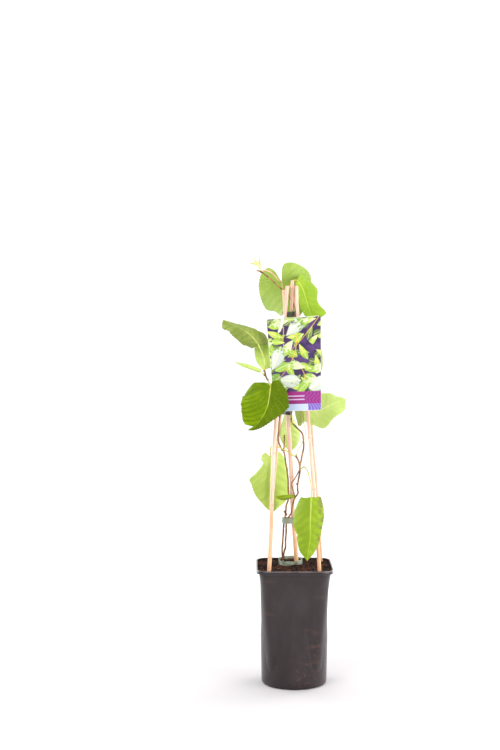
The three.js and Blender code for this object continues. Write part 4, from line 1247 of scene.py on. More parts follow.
@dataclass
class Soil:
    """Compost filling the pot, with chips and fibres, and the plug's own mound."""

    pot: Pot
    top: float = 210.5
    bump: float = 1.1
    plug: Pair = (-6.0, 30.0)
    plug_radius: float = 20.65
    plug_top: float = 216.0
    slot_radius: float = 22.35
    inset: float = 2.4
    half_side: float = 62.0
    half_diagonal: float = 74.0
    rim: Pair = (18.5, 25.0)
    chips: int = 420
    fibres: int = 150
    seed: int = 11

    def height(self, x: float, y: float) -> float:
        """Measures the compost.

        Args:
            x: Place to the right.
            y: Place to the back.

        Returns:
            The height of its rough top.
        """
        wave = sin(x / 9 + 1) * cos(y / 11 - 0.5)
        wave += 0.4 * sin(x / 4.3 + y / 5.1)
        rough = noise.noise(Vector((x, y, 0)) / 5) + 0.6 * noise.noise(Vector((x, y, 9)) / 2)
        if hypot(x - self.plug[0], y - self.plug[1]) < self.slot_radius + 1.2:
            return self.top - 2.0 + rough * 0.4
        return self.top + self.bump * wave + rough * 1.1

    def bed(self) -> Piece:
        """Rolls up the body of compost under its rough top.

        Returns:
            The closed body.
        """
        over = self.pot.ledge + self.pot.ledge_rise + 0.3
        rings = [(*self.pot.section(level), self.inset)
                 for level in (self.pot.floor + 0.3, 60, 120, 150, 172, 190)]
        rings += [(self.pot.ledge + 0.3, *self.pot.sections[-1][1:], self.inset),
                  (over, *self.pot.collar(), 0.6)]
        steps = 44
        last = len(rings) + 1 + steps

        def place(turn: float, row: float) -> Vector:
            """Gives a point of the compost's surface.

            Args:
                turn: Share of a full turn.
                row: Share of the rows.

            Returns:
                The point.
            """
            angle = 2 * pi * turn
            index = round(row * last)
            if index == 0:
                return Vector((0, 0, rings[0][0]))
            if index <= len(rings):
                height, half, corner, inset = rings[index - 1]
                far = self.pot.reach(angle, half, min(corner, half)) - inset
                return Vector((far * cos(angle), far * sin(angle), height))
            share = 1 - (index - len(rings) - 1) / steps
            far = (self.pot.reach(angle, *self.pot.collar()) - 0.6) * share
            x, y = far * cos(angle), far * sin(angle)
            return Vector((x, y, max(self.height(x, y), over + 0.3)))

        piece = grid("bed", 176, last, place)
        close(piece)
        return piece

    def mound(self) -> Piece:
        """Builds the plug's soil, which stands higher inside the sleeve.

        Returns:
            The closed mound.
        """
        def place(turn: float, row: float) -> Vector:
            """Gives a point of the mound.

            Args:
                turn: Share of a full turn.
                row: Share of the rows.

            Returns:
                The point.
            """
            angle = 2 * pi * turn
            if row == 0:
                return Vector((*self.plug, 200))
            share = min(1.0, (1 - row) * 1.06)
            x = self.plug[0] + self.plug_radius * share * cos(angle)
            y = self.plug[1] + self.plug_radius * share * sin(angle)
            if row < 0.05:
                return Vector((x, y, 200))
            rough = noise.noise(Vector((x, y, 30)) / 5) + 0.7 * noise.noise(Vector((x, y, 3)) / 2)
            return Vector((x, y, self.plug_top - 0.5 + rough * 1.2))

        piece = grid("mound", 80, 22, place)
        close(piece)
        return piece

    def spot(self, dice: random.Random) -> Vector:
        """Picks a place on the compost, clear of the pot's wall and of the sleeve.

        Args:
            dice: The seeded draws.

        Returns:
            The point.
        """
        half = self.half_side
        while True:
            x, y = dice.uniform(-half, half), dice.uniform(-half, half)
            far = hypot(x - self.plug[0], y - self.plug[1])
            if hypot(x, y) < self.half_diagonal and not self.rim[0] < far < self.rim[1]:
                inside = far < self.plug_radius - 1
                return Vector((x, y, self.plug_top - 0.3 if inside else self.height(x, y)))

    def chip(self, dice: random.Random) -> Piece:
        """Adds one angular crumb of bark.

        Args:
            dice: The seeded draws.

        Returns:
            The crumb, at the origin.
        """
        deselect()
        bpy.ops.mesh.primitive_ico_sphere_add(subdivisions=1, radius=MM)
        piece = bpy.context.object
        for vertex in piece.data.vertices:
            vertex.co *= dice.uniform(0.7, 1.25)
        return piece

    def strand(self, dice: random.Random) -> Piece:
        """Adds one thin, bent fibre about 10 millimetres long.

        Args:
            dice: The seeded draws.

        Returns:
            The fibre, at the origin.
        """
        points = [(i * 2.6, dice.uniform(-1.2, 1.2), dice.uniform(-0.1, 1.0)) for i in range(5)]
        route = Route(points)
        stations = [(route.length * i / 6, 0.22) for i in range(7)]
        return tube("strand", route, [(0, 0), *stations, (route.length, 0)], 4)

    def scatter(self, dice: random.Random) -> list[Piece]:
        """Copies a few crumbs and fibres over the compost, each turned and sized anew.

        Args:
            dice: The seeded draws.

        Returns:
            The copies.
        """
        crumbs = [self.chip(dice) for _ in range(5)]
        strands = [self.strand(dice) for _ in range(4)]
        plans = [(crumbs, self.chips, (0.7, 2.1)), (strands, self.fibres, (0.7, 1.6))]
        placed = []
        for masters, count, sizes in plans:
            for _ in range(count):
                master = dice.choice(masters)
                copy = bpy.data.objects.new("crumb", master.data.copy())
                bpy.context.collection.objects.link(copy)
                size = dice.uniform(*sizes)
                turn = Matrix.Rotation(dice.uniform(0, 2 * pi), 4, "Z")
                lean = Matrix.Rotation(dice.uniform(-0.5, 0.5), 4, "X")
                stretch = Matrix.Diagonal((size, size * dice.uniform(0.5, 1), size * 0.7, 1))
                move = Matrix.Translation(self.spot(dice) * MM)
                copy.data.transform(move @ turn @ lean @ stretch)
                placed.append(copy)
        deselect()
        for master in (*crumbs, *strands):
            master.select_set(True)
        bpy.ops.object.delete()
        return placed

    def dress(self) -> None:
        """Builds the compost and gives it its finishes."""
        dice = random.Random(self.seed)
        ground = join("ground", [self.bed(), self.mound()])
        soften(ground, 60)
        ground.data.materials.append(Compost().material())
        litter = join("litter", self.scatter(dice))
        litter.data.materials.append(Chips().material())
        dress(join("compost", [ground, litter]), "potting_soil", ["potting_soil"])


@dataclass
class Sleeve:
    """Thin fibre sleeve round the growing plug, frayed by wear at its rim."""

    centre: Pair = (-6.0, 30.0)
    radius: float = 22.0
    wall: float = 1.0
    foot: float = 190.0
    top: float = 220.5
    tilt: float = 0.07

    def build(self) -> Piece:
        """Rolls up the sleeve's wall, outside and inside in one sheet.

        Returns:
            The sleeve.
        """
        inner = self.radius - self.wall
        middle = self.radius - self.wall / 2
        heights = [0, 0.35, 0.6, 0.75, 0.85, 0.93, 0.98]
        rows = [(middle, 0.0), *[(self.radius, h) for h in heights], (self.radius - 0.15, 0.995),
                (middle, 1.0), (inner + 0.15, 0.995), *[(inner, h) for h in reversed(heights)],
                (middle, 0.0)]
        last = len(rows) - 1

        def place(turn: float, row: float) -> Vector:
            """Gives a point of the sleeve's wall.

            Args:
                turn: Share of a full turn.
                row: Share of the rows.

            Returns:
                The point.
            """
            radius, share = rows[round(row * last)]
            angle = 2 * pi * turn
            ray = Vector((cos(angle), sin(angle), 0))
            wear = noise.noise(ray * 3) + 0.5 * noise.noise(ray * 11)
            top = self.top - 1.5 + self.tilt * radius * ray.y + wear * 2.2
            height = blend(self.foot, top, share)
            ripple = noise.noise(Vector((ray.x * 3, ray.y * 3, height / 9)))
            ripple *= blend(0.2, 1.1, smooth(212, 219, height))
            return Vector((*self.centre, height)) + ray * (radius + ripple)

        piece = grid("plug_rim", 128, last, place)
        close(piece)
        soften(piece, 50)
        return piece

    def dress(self) -> None:
        """Builds the sleeve and gives it its finish."""
        dress(self.build(), "sleeve_fibre", ["plug_sleeve"], [Fibre().material()])


@dataclass
class Cane:
    """One bamboo cane, with node rings and a hollow pith at its cut top."""

    name: str
    foot: Point
    points: tuple[Point, ...]
    radii: Pair
    first: float
    pitch: float = 92.0
    bulge: float = 0.5

    def route(self) -> Route:
        """Returns the cane's middle line."""
        return Route([self.foot, *self.points])

    def radius(self, distance: float, length: float) -> float:
        """Measures the cane, nodes included.

        Args:
            distance: How far up it.
            length: Its whole length.

        Returns:
            The radius.
        """
        plain = blend(*self.radii, distance / length)
        off = (distance - self.first + self.pitch / 2) % self.pitch - self.pitch / 2
        ridge = exp(-((off / 1.3) ** 2)) + 0.35 * exp(-(((off - 3) / 2.5) ** 2))
        return plain + self.bulge * ridge - 0.25 * exp(-(((off + 2.2) / 0.9) ** 2))

    def rod(self, height: float) -> Point:
        """Finds the cane at a height.

        Args:
            height: The height.

        Returns:
            Its place and radius.
        """
        route = self.route()
        share = route.share_at_height(height)
        spot = route.at(share)
        return (spot.x, spot.y, blend(*self.radii, share))

    def build(self) -> Piece:
        """Sweeps the cane from its foot to the pith hollow at its top.

        Returns:
            The cane.
        """
        route = self.route()
        length = route.length
        marks = [i * 5.0 for i in range(int((length - 2) / 5) + 1)]
        node = self.first
        while node < length - 6:
            marks = [m for m in marks if abs(m - node) > 5.2]
            marks += [node + off for off in (-4.5, -3, -2.2, -1.3, -0.6, 0, 0.7, 1.5, 3, 5)]
            node += self.pitch
        marks = sorted({m for m in marks if 0 <= m < length - 1})
        end = self.radii[1]
        stations = [(0.0, 0.0), *[(m, self.radius(m, length)) for m in marks],
                    (length - 0.5, end), (length, end - 0.35), (length, end * 0.42),
                    (length - 0.5, end * 0.36), (length - 4, end * 0.3), (length - 4, 0.0)]
        piece = tube(self.name, route, stations, 24)
        soften(piece, 50)
        return piece

    def dress(self) -> None:
        """Builds the cane and gives it its finish."""
        finish = Bamboo(pitch=self.pitch, first=self.first)
        material = finish.material(self.name.replace("cane", "bamboo"))
        piece = self.build()
        piece.name = piece.data.name = self.name.replace("cane", "bamboo")
        dress(piece, "bamboo", [self.name], [material])


CANES = (
    Cane("cane_front_left", (-45, -44, 168),
         ((-46, -45, 200), (-43, -38, 265), (-40, -30, 353), (-36, -23, 442), (-17, -8, 670),
          (-13, -5, 716)), (3.6, 3.3), 68),
    Cane("cane_front_right", (43, -44, 168),
         ((44, -45, 200), (40, -40, 266), (34, -32, 354), (27, -25, 442), (15, -14, 584),
          (5, -8, 670), (3, -7, 716)), (3.3, 3.0), 96),
    Cane("cane_back_left", (-43, 48, 176),
         ((-44, 50, 211), (-39, 38, 326), (-31, 28, 419), (-26, 22, 465), (-15, 11, 592),
          (-6, 3, 671), (-4, 0, 726)), (3.0, 2.7), 80),
    Cane("cane_back_right", (49, 47, 186),
         ((51, 49, 211), (43, 38, 344), (35, 28, 433), (27, 19, 520), (16, 12, 592),
          (3, 8, 670), (0, 8, 720)), (2.9, 2.6), 60),
    Cane("cane_centre", (12, 35, 120),
         ((5, 22, 214), (2, 16, 256), (-3, 7, 321), (-5, 2, 376), (-9, -2, 440),
          (-11, -3, 467), (-15, 0, 566), (-17, 2, 670), (-19, 4, 709)), (4.1, 3.3), 72),
)


def rods(names: Sequence[str], low: float, high: float) -> list[Point]:
    """Lists places and radii of some canes at two heights."""
    chosen = [cane for cane in CANES if cane.name in names]
    return [cane.rod(height) for cane in chosen for height in (low, high)]


def belt(name: str, group: Sequence[Point], clear: float, wall: float,
         low: float, high: float, wraps: int) -> Piece:
    """Draws a flat band tight round a group of upright rods.

    Args:
        name: Name of the piece.
        group: The rods.
        clear: Distance of the band off the rods.
        wall: Thickness of the band.
        low: Height of its lower edge.
        high: Height of its upper edge.
        wraps: How many turns of it show as ridges.

    Returns:
        The closed band.
    """
    count = 160
    line: list[Vector] = []
    for i in range(720):
        angle = 2 * pi * (i / 720)
        ray = Vector((cos(angle), sin(angle), 0))
        x, y, radius = max(group, key=lambda rod: rod[0] * ray.x + rod[1] * ray.y + rod[2])
        line.append(Vector((x, y, 0)) + ray * (radius + clear))
    marks = [0.0]
    for before, after in zip(line, [*line[1:], line[0]]):
        marks.append(marks[-1] + (after - before).length)
    even: list[Vector] = []
    index = 0
    for step in range(count):
        goal = marks[-1] * step / count
        while marks[index + 1] < goal:
            index += 1
        span = max(1e-9, marks[index + 1] - marks[index])
        even.append(line[index].lerp(line[(index + 1) % 720], (goal - marks[index]) / span))
    outs = []
    for i in range(count):
        edge = even[(i + 1) % count] - even[i - 1]
        outs.append(Vector((edge.y, -edge.x, 0)).normalized())
    levels = 6 * wraps
    rows = [(0.0, 0.5), *[(i / levels, 1.0) for i in range(levels + 1)], (1.0, 0.5),
            (0.985, 0.0), (0.015, 0.0), (0.0, 0.5)]
    last = len(rows) - 1

    def place(turn: float, row: float) -> Vector:
        """Gives a point of the band.

        Args:
            turn: Share of a full turn.
            row: Share of the rows.

        Returns:
            The point.
        """
        share, depth = rows[round(row * last)]
        i = round(turn * count) % count
        ridge = abs(sin(pi * share * wraps)) * 0.25 - 0.15 if depth == 1 else 0.0
        spot = even[i] + Vector((0, 0, blend(low, high, share)))
        crease = noise.noise(spot / 3) * 0.12 if depth == 1 else 0.0
        edge = noise.noise(Vector((even[i].x, even[i].y, share)) / 4) * 0.25
        return spot + outs[i] * (wall * depth + ridge + crease) + Vector((0, 0, edge))

    piece = grid(name, count, last, place)
    close(piece)
    soften(piece, 50)
    return piece


@dataclass
class Binding:
    """One tape tied round canes and stems."""

    name: str
    canes: tuple[str, ...]
    stems: tuple[Pair, ...]
    low: float
    high: float
    slot: str
    finish: Tape
    wraps: int = 2
    stem_radius: float = 1.9

    def dress(self) -> None:
        """Builds the tape and gives it its finish."""
        group = rods(self.canes, self.low, self.high)
        group += [(x, y, self.stem_radius) for x, y in self.stems]
        name = self.name.replace("tape", "binding")
        piece = belt(name, group, 0.7, 0.9, self.low, self.high, self.wraps)
        dress(piece, self.slot, [self.name], [self.finish.material()])


BINDINGS = (
    Binding("tape_top", ("cane_centre", "cane_back_left", "cane_back_right"), (),
            660.5, 670.5, "tape_dark", Tape(), 3),
    Binding("tape_middle", ("cane_centre", "cane_back_left"), (), 485.5, 493,
            "tape_dark", Tape("tape_middle", tone(40, 40, 42), tone(80, 82, 84))),
    Binding("tape_bottom", ("cane_centre",),
            ((-18.2, 12.2), (-16.6, 9.6), (-14, 9.4), (-11.2, 5), (-10.2, 4)),
            288, 297.5, "tape_green",
            Tape("tape_green", tone(126, 134, 112), tone(176, 182, 160), 0.5)),
)


@dataclass
class Label:
    """Picture card with rounded corners, bowed and twisted, with a slot near its top."""

    top_left: Point = (-51, -24, 657)
    top_right: Point = (46, -24, 663)
    bottom_right: Point = (46, -44, 497)
    bottom_left: Point = (-36, -30, 494)
    width: float = 97.0
    height: float = 165.0
    corner: float = 5.0
    bow: float = 3.0
    thickness: float = 0.7
    slot_centre: Point = (-5, -25, 652)
    slot_size: Point = (10, 8, 2.6)

    def point(self, across: float, down: float, inset: float) -> Vector:
        """Gives a point of the card's middle.

        Args:
            across: Share of the width from the left.
            down: Share of the height from the top.
            inset: How far the sides draw in there.

        Returns:
            The point.
        """
        top = Vector(self.top_left).lerp(Vector(self.top_right), across)
        bottom = Vector(self.bottom_left).lerp(Vector(self.bottom_right), across)
        spot = top.lerp(bottom, down)
        spot.x += inset * (1 - 2 * across)
        spot.y -= self.bow * (1 - (2 * across - 1) ** 2)
        return spot

    def build(self) -> Piece:
        """Shapes the card, thickens it and cuts the slot.

        Returns:
            The card.
        """
        corner, height = self.corner, self.height
        near = [0, 0.03, 0.1, 0.22, 0.4, 0.65, 1.0]
        rows = [corner * n for n in near]
        rows += [corner + (height - 2 * corner) * i / 30 for i in range(1, 30)]
        rows += [height - corner * n for n in reversed(near)]
        last = len(rows) - 1

        def inset(distance: float) -> float:
            """Gives how far the sides draw in at a distance from the top."""
            edge = max(0.0, corner - min(distance, height - distance))
            return corner - sqrt(max(0.0, corner * corner - edge * edge))

        def place(across: float, row: float) -> Vector:
            """Gives a point of the card."""
            distance = rows[round((1 - row) * last)]
            return self.point(across, distance / height, inset(distance))

        def chart(across: float, row: float) -> Pair:
            """Gives the place on the print.

            Args:
                across: Share of the width.
                row: Share of the rows.

            Returns:
                Shares of the print's width and height.
            """
            distance = rows[round((1 - row) * last)]
            pull = inset(distance) / self.width
            return (pull + across * (1 - 2 * pull), 1 - distance / height)

        piece = grid("picture_label", 40, last, place, chart)
        close(piece)
        face(piece, Vector((0, -1, 0)))
        modify(piece, "SOLIDIFY", thickness=self.thickness * MM, offset=0.0)
        deselect()
        bpy.ops.mesh.primitive_cube_add(size=MM, location=Vector(self.slot_centre) * MM)
        cutter = bpy.context.object
        for vertex in cutter.data.vertices:
            vertex.co = Vector(a * b for a, b in zip(vertex.co, self.slot_size))
        carve(piece, cutter)
        soften(piece, 40)
        return piece

    def dress(self) -> None:
        """Builds the card and prints it."""
        dress(self.build(), "label_print", ["label_card"], [LabelPrint().material()])


@dataclass
class LabelStrap:
    """White strap round all the canes, with one end through the card and one over it."""

    low: float = 650.0
    width: float = 6.5
    thickness: float = 0.8
    tail: tuple[Point, ...] = (
        (-20, -13.6, 653), (-20, -17.5, 657), (-20.5, -21, 661.8), (-21, -24.5, 663.9),
        (-21.5, -27.8, 661.6), (-22.5, -28.5, 655), (-25, -29, 644), (-29, -29.5, 633),
    )
    neck: tuple[Point, ...] = ((-5, -12.8, 652), (-5, -18, 652), (-5, -25, 652), (-5, -30.5, 652))
    knot: float = 3.0
    knot_shape: Point = (1.1, 0.5, 0.8)

    def ribbon(self, points: Sequence[Point], width: float, lean: float) -> Piece:
        """Shapes a flat end of the strap.

        Args:
            points: The line along its middle.
            width: Its width.
            lean: How much its crossways direction rises.

        Returns:
            The ribbon.
        """
        route = Route(points)
        side = Vector((1, 0, lean)).normalized()

        def place(across: float, along: float) -> Vector:
            """Gives a point of the ribbon."""
            narrow = 1 - 0.5 * smooth(0.96, 1.0, along)
            return route.at(along) + side * (across - 0.5) * width * narrow

        piece = grid("ribbon", 6, 40, place)
        close(piece)
        modify(piece, "SOLIDIFY", thickness=self.thickness * MM, offset=0.0)
        modify(piece, "BEVEL", width=0.15 * MM, segments=2, limit_method="ANGLE")
        return piece

    def dress(self) -> None:
        """Builds the strap with its knot and gives both their finishes."""
        high = self.low + self.width
        group = rods([cane.name for cane in CANES], self.low, high)
        ring = belt("ring", group, 0.7, self.thickness, self.low, high, 1)
        deselect()
        bpy.ops.mesh.primitive_uv_sphere_add(segments=32, ring_count=20, radius=self.knot * MM)
        knot = bpy.context.object
        for vertex in knot.data.vertices:
            vertex.co = Vector(a * b for a, b in zip(vertex.co, self.knot_shape))
            vertex.co += Vector(self.neck[-1]) * MM
        strap = join("strap", [ring, self.ribbon(self.tail, self.width - 1, 0.12),
                               self.ribbon(self.neck, self.width, 0)])
        strap.data.materials.append(Strap().material())
        # Painted shade: the knot is a darker grey than the strap, for the shadow in the card's
        # slot.
        plain = Tape("knot", tone(120, 112, 116), tone(190, 186, 190))
        knot.data.materials.append(plain.material())
        piece = join("tie_strap", [strap, knot])
        soften(piece, 40)
        dress(piece, "strap_white", ["label_strap"])


@dataclass
class Vine:
    """Two twining stems with side shoots and buds."""

    crown: Point = (-18, 34, 186)
    left: tuple[Point, ...] = (
        (-20, 35, 217), (-21, 30, 235), (-20, 24, 254), (-19, 17, 274), (-18, 12, 289),
        (-16, 9, 301), (-15, 8, 310), (-14, 7, 321), (-11, 4, 330), (-10, 0, 340),
        (-11, -2, 353), (-11, -3, 364), (-12, -3, 375), (-13, -2, 386), (-15, 0, 396),
        (-18, 3, 416), (-22, 6, 422), (-25, 8, 427), (-28, 11, 435), (-29, 14, 442),
        (-28, 15, 456), (-27, 11, 473), (-26, 7, 484), (-26, 4, 495), (-30, -1, 512),
        (-37, -8, 527), (-43, -14, 540), (-48, -16, 548), (-51, -18, 554), (-54, -20, 566),
    )
    right: tuple[Point, ...] = (
        (-19, 31, 218), (-17, 27, 234), (-15, 24, 241), (-15, 20, 255), (-14, 15, 271),
        (-14, 10, 286), (-12, 6, 296), (-8, 1, 303), (-5, 0, 308), (-4, -1, 317),
        (-2, -2, 326), (1, -3, 335), (4, -4, 340), (7, -4, 344), (6, -4, 350), (6, -4, 359),
        (8, -4, 372), (10, -5, 383), (10, -6, 395), (12, -5, 402), (14, -4, 413),
        (16, -4, 422), (17, -4, 431), (16, -4, 442), (15, -5, 450), (12, -6, 455),
        (7, -8, 460), (1, -9, 466), (-5, -10, 473), (-6, -10, 482), (-5, -9, 494),
        (-6, -8, 512), (-8, -8, 548), (-9, -7, 584), (-7, -5, 620), (-3, -3, 646),
        (2, -1, 670), (0, 3, 678), (-3, 7, 686), (-7, 8, 692), (-11, 9, 700),
        (-15, 10, 705), (-19, 10, 708), (-22, 9, 710), (-26, 7, 713), (-35, 3, 721),
        (-44, 0, 729), (-53, -3, 736), (-59, -5, 741), (-65, -6, 743), (-68, -5, 744),
    )
    shoots: tuple[tuple[tuple[Point, ...], float, float], ...] = (
        (((1, 1, 336), (-1, -3, 346), (-4, -5, 355), (-5, -6, 362), (-2, -7, 367),
          (3, -7, 375), (8, -7, 384), (10, -6, 391)), 1.2, 1.2),
        (((10, -6, 388), (8, -7, 401), (6, -8, 406), (3, -9, 411)), 1.3, 1.5),
        (((-19, 4, 419), (-18, 1, 436), (-18, 0, 449)), 1.5, 1.3),
    )
    buds: tuple[Point, ...] = (
        (-17, 7.5, 309), (-14, 7, 304), (5, -5, 361), (-54, -19, 558), (-54, -20, 565),
        (-48, -16, 549), (-6, -11, 478), (10, -6, 389), (3, -9, 411), (-22, 6, 422),
        (-60, -5, 741), (-15, 10, 705),
    )
    bud_radius: float = 2.0

    def stem(self, points: Sequence[Point], first: float, last: float) -> Piece:
        """Sweeps one stem, knobbly and rounded at its ends.

        Args:
            points: Its middle line.
            first: Radius at its foot.
            last: Radius at its end.

        Returns:
            The stem.
        """
        route = Route(points)
        length = route.length
        count = max(6, round(length / 3))
        inner = [(0.4 + (length - 0.8) * i / count) for i in range(count + 1)]
        stations = [(0.0, 0.0), (0.0, first * 0.6),
                    *[(d, blend(first, last, d / length)) for d in inner],
                    (length, last * 0.6), (length, 0.0)]
        return tube("stem", route, stations, 14, lambda spot: noise.noise(spot / 4) * 0.22)

    def bud(self, spot: Point) -> Piece:
        """Adds one blunt, scaly bud.

        Args:
            spot: Its place.

        Returns:
            The bud.
        """
        deselect()
        bpy.ops.mesh.primitive_uv_sphere_add(segments=20, ring_count=14,
                                             radius=self.bud_radius * MM)
        piece = bpy.context.object
        for vertex in piece.data.vertices:
            spread = 1.0 + 0.25 * noise.noise((vertex.co / MM + Vector(spot)) / 1.4)
            vertex.co = vertex.co * spread
            vertex.co.z *= 1.25
            vertex.co += Vector(spot) * MM
        return piece

    def dress(self) -> None:
        """Builds the stems and gives them their bark."""
        pieces = [self.stem([self.crown, *self.left], 1.7, 1.35),
                  self.stem([self.crown, *self.right], 1.7, 1.3)]
        pieces += [self.stem(points, first, last) for points, first, last in self.shoots]
        pieces += [self.bud(spot) for spot in self.buds]
        piece = join("twining_stems", pieces)
        soften(piece, 60)
        dress(piece, "vine_bark", ["vine"], [Bark().material()])


@dataclass(frozen=True)
class Half:
    """One half of a blade, from the midrib to its margin.

    Lobe, sinus, widest, full and shoulder are shares of the blade's length or the half's
    width.

    Attributes:
        width: Greatest width, in millimetres.
        fold: Degrees up from the flat at the midrib.
        curl: Further degrees up on the way to the margin.
        lobe: How far it reaches back past the base.
        sinus: How far out it starts there.
        widest: Where along the midrib it is broadest.
        full: How broad it stays beyond that.
        shoulder: How far out it rounds off past the base.
        dents: Place along the margin, spread and depth of each dent or swelling.
        own: An outline of its own, as shares of the length and the width.
    """

    width: float
    fold: float
    curl: float
    lobe: float = 0.0
    sinus: float = 0.1
    widest: float = 0.3
    full: float = 0.9
    shoulder: float = 0.76
    dents: tuple[Point, ...] = ()
    own: tuple[Pair, ...] = ()

    @functools.cache
    def outline(self, taper: float, tip: float) -> Route:
        """Draws the margin.

        Args:
            taper: Width near the tip.
            tip: How full the tip is, as a share of that.

        Returns:
            A line of shares of the length and the width.
        """
        if self.own:
            return Route([(along, out, 0) for along, out in self.own])
        return Route([
            (0, 0, 0), (-0.62 * self.lobe, self.sinus, 0), (-self.lobe, 0.55 * self.shoulder, 0),
            (-0.45 * self.lobe, self.shoulder, 0), (self.widest, 1, 0),
            (self.widest + 0.42 * (1 - self.widest), self.full, 0), (0.86, taper, 0),
            (0.94, tip * taper, 0), (1, 0, 0),
        ])

    def dented(self, where: float) -> float:
        """Returns how much of the width the dents leave at a place along the margin."""
        return 1 - sum(depth * exp(-(((where - centre) / spread) ** 2))
                       for centre, spread, depth in self.dents)


@dataclass
class Leaf:
    """One leaf: a blade of two halves on a curved midrib, with its stalk."""

    node: str
    look: LeafLook
    stalk: tuple[Point, ...]
    stalk_radius: float
    rib: tuple[Point, ...]
    roll: Pair
    taper: float
    tip: float
    left: Half
    right: Half
    stalk_finish: Stalk = GREEN_STALK
    bite: tuple[Pair, ...] = ()
    rows: int = 110
    columns: int = 14
    tooth: float = 0.6
    ruffle: float = 1.0
    puff: float = 0.8
    thickness: float = 0.5

    def directions(self, path: Route, at: float) -> tuple[Vector, Vector]:
        """Gives the directions out to the blade's right and up off its upper side.

        Args:
            path: The midrib.
            at: Share of its length.

        Returns:
            The two unit directions.
        """
        along = path.heading(at)
        front = Vector((0, -1, 0))
        facing = (front - along * front.dot(along)).normalized()
        level = along.cross(facing)
        turn = radians(blend(*self.roll, at))
        up = facing * cos(turn) + level * sin(turn)
        return along.cross(up), up

    def point(self, path: Route, half: Half, side: int, along: float, width: float) -> Vector:
        """Gives a point of the folded and curled blade.

        Args:
            path: The midrib.
            half: The half that the point is on.
            side: -1 on the left and 1 on the right.
            along: Share of the length.
            width: Distance from the midrib over the surface.

        Returns:
            The point.
        """
        at = min(1.0, max(0.0, along))
        out, up = self.directions(path, at)
        fold, curl = radians(half.fold), radians(half.curl)
        if abs(curl) > 0.02:
            radius = half.width / curl
            bend = fold + curl * width / half.width
            across = radius * (sin(bend) - sin(fold))
            lift = radius * (cos(fold) - cos(bend))
        else:
            across, lift = width * cos(fold), width * sin(fold)
        past = path.heading(at) * (along - at) * path.length
        return path.at(at) + past + out * side * across + up * lift

    def relief(self, share: float, wide: float, right: float, out: float, where: float,
               seed: float) -> float:
        """Gives how far the blade stands up between its veins and waves at its margin.

        Args:
            share: Share along the blade.
            wide: Distance from the midrib, as a share of the length.
            right: 1 on the right half and 0 on the left one.
            out: Share of the way to the margin.
            where: Share of the way round, from the base.
            seed: A number of this leaf's own.

        Returns:
            The height in millimetres.
        """
        rise = VEINS[self.look].rise(share, wide, right)
        between = abs(sin(pi * rise)) ** 0.6
        between *= smooth(0, 0.2, out) * smooth(1.05, 0.85, out)
        wave = sin(where * 19 + seed) + 0.6 * sin(where * 33 + seed * 2)
        ends = smooth(0, 0.08, where) * smooth(1, 0.9, where)
        return ends * (self.puff * between + self.ruffle * wave * out ** 2.5)

    def locate(self, u: float, v: float) -> tuple[Half, int, float, float, float]:
        """Finds a grid point's half, side, share of the length, width and share out.

        Args:
            u: Share of the way across, from the left.
            v: Share of the way round, from the base.

        Returns:
            The half, its side, and the three measures.
        """
        side = -1 if u < 0.5 else 1
        half = self.left if side < 0 else self.right
        out = abs(2 * u - 1)
        margin = half.outline(self.taper, self.tip).at(v)
        width = half.width * margin.y * half.dented(v) * out
        return half, side, v ** 1.35 * (1 - out) + margin.x * out, width, out

    def blade(self) -> Piece:
        """Shapes the blade, turns it the right way up and thickens it.

        Returns:
            The blade.
        """
        path = Route(self.rib)
        seed = sum(map(ord, self.node)) % 17
        size = min(1.0, min(self.left.width, self.right.width) / 20)

        def place(u: float, v: float) -> Vector:
            """Gives a point of the blade.

            Args:
                u: Share of the way across.
                v: Share of the way round.

            Returns:
                The point.
            """
            half, side, share, width, out = self.locate(u, v)
            wide = width / path.length
            if out > 0.999:
                teeth = (-1, 0.3, 1)[round(v * self.rows) % 3]
                fade = smooth(0.1, 0.4, width / half.width)
                width += teeth * self.tooth * size * fade * (0 < v < 1)
            spot = self.point(path, half, side, share, width)
            _, up = self.directions(path, min(1.0, max(0.0, share)))
            lift = self.relief(share, wide, max(side, 0), out, v, seed)
            return spot + up * lift * size

        def chart(u: float, v: float) -> Pair:
            """Gives the blade's own map: its true shape, as shares of its length."""
            _, side, share, width, _ = self.locate(u, v)
            return 0.5 + side * width / path.length / 2, (share + 0.5) / 1.5

        piece = grid("blade", 2 * self.columns, self.rows, place, chart)
        close(piece, 0.02)
        face(piece, self.directions(path, 0.5)[1])
        piece.data.materials.append(UPPER_SIDES[self.look].material())
        piece.data.materials.append(UNDER_SIDES[self.look].material())
        modify(piece, "SOLIDIFY", thickness=self.thickness * MM, offset=0.0,
               material_offset=1, material_offset_rim=0)
        if self.bite:
            self.cut(piece)
        return piece

    def cut(self, piece: Piece) -> None:
        """Cuts the missing piece from the blade's edge with a wedge that is then removed.

        Args:
            piece: The blade.
        """
        deselect()
        bpy.ops.mesh.primitive_cylinder_add(vertices=3, radius=1, depth=1)
        wedge = bpy.context.object
        corners = sorted({round(atan2(v.co.y, v.co.x), 3) for v in wedge.data.vertices})
        for vertex in wedge.data.vertices:
            x, z = self.bite[corners.index(round(atan2(vertex.co.y, vertex.co.x), 3))]
            vertex.co = Vector((x, -50 + 100 * vertex.co.z, z)) * MM
        edit(wedge, lambda: bpy.ops.mesh.normals_make_consistent(inside=False))
        carve(piece, wedge)

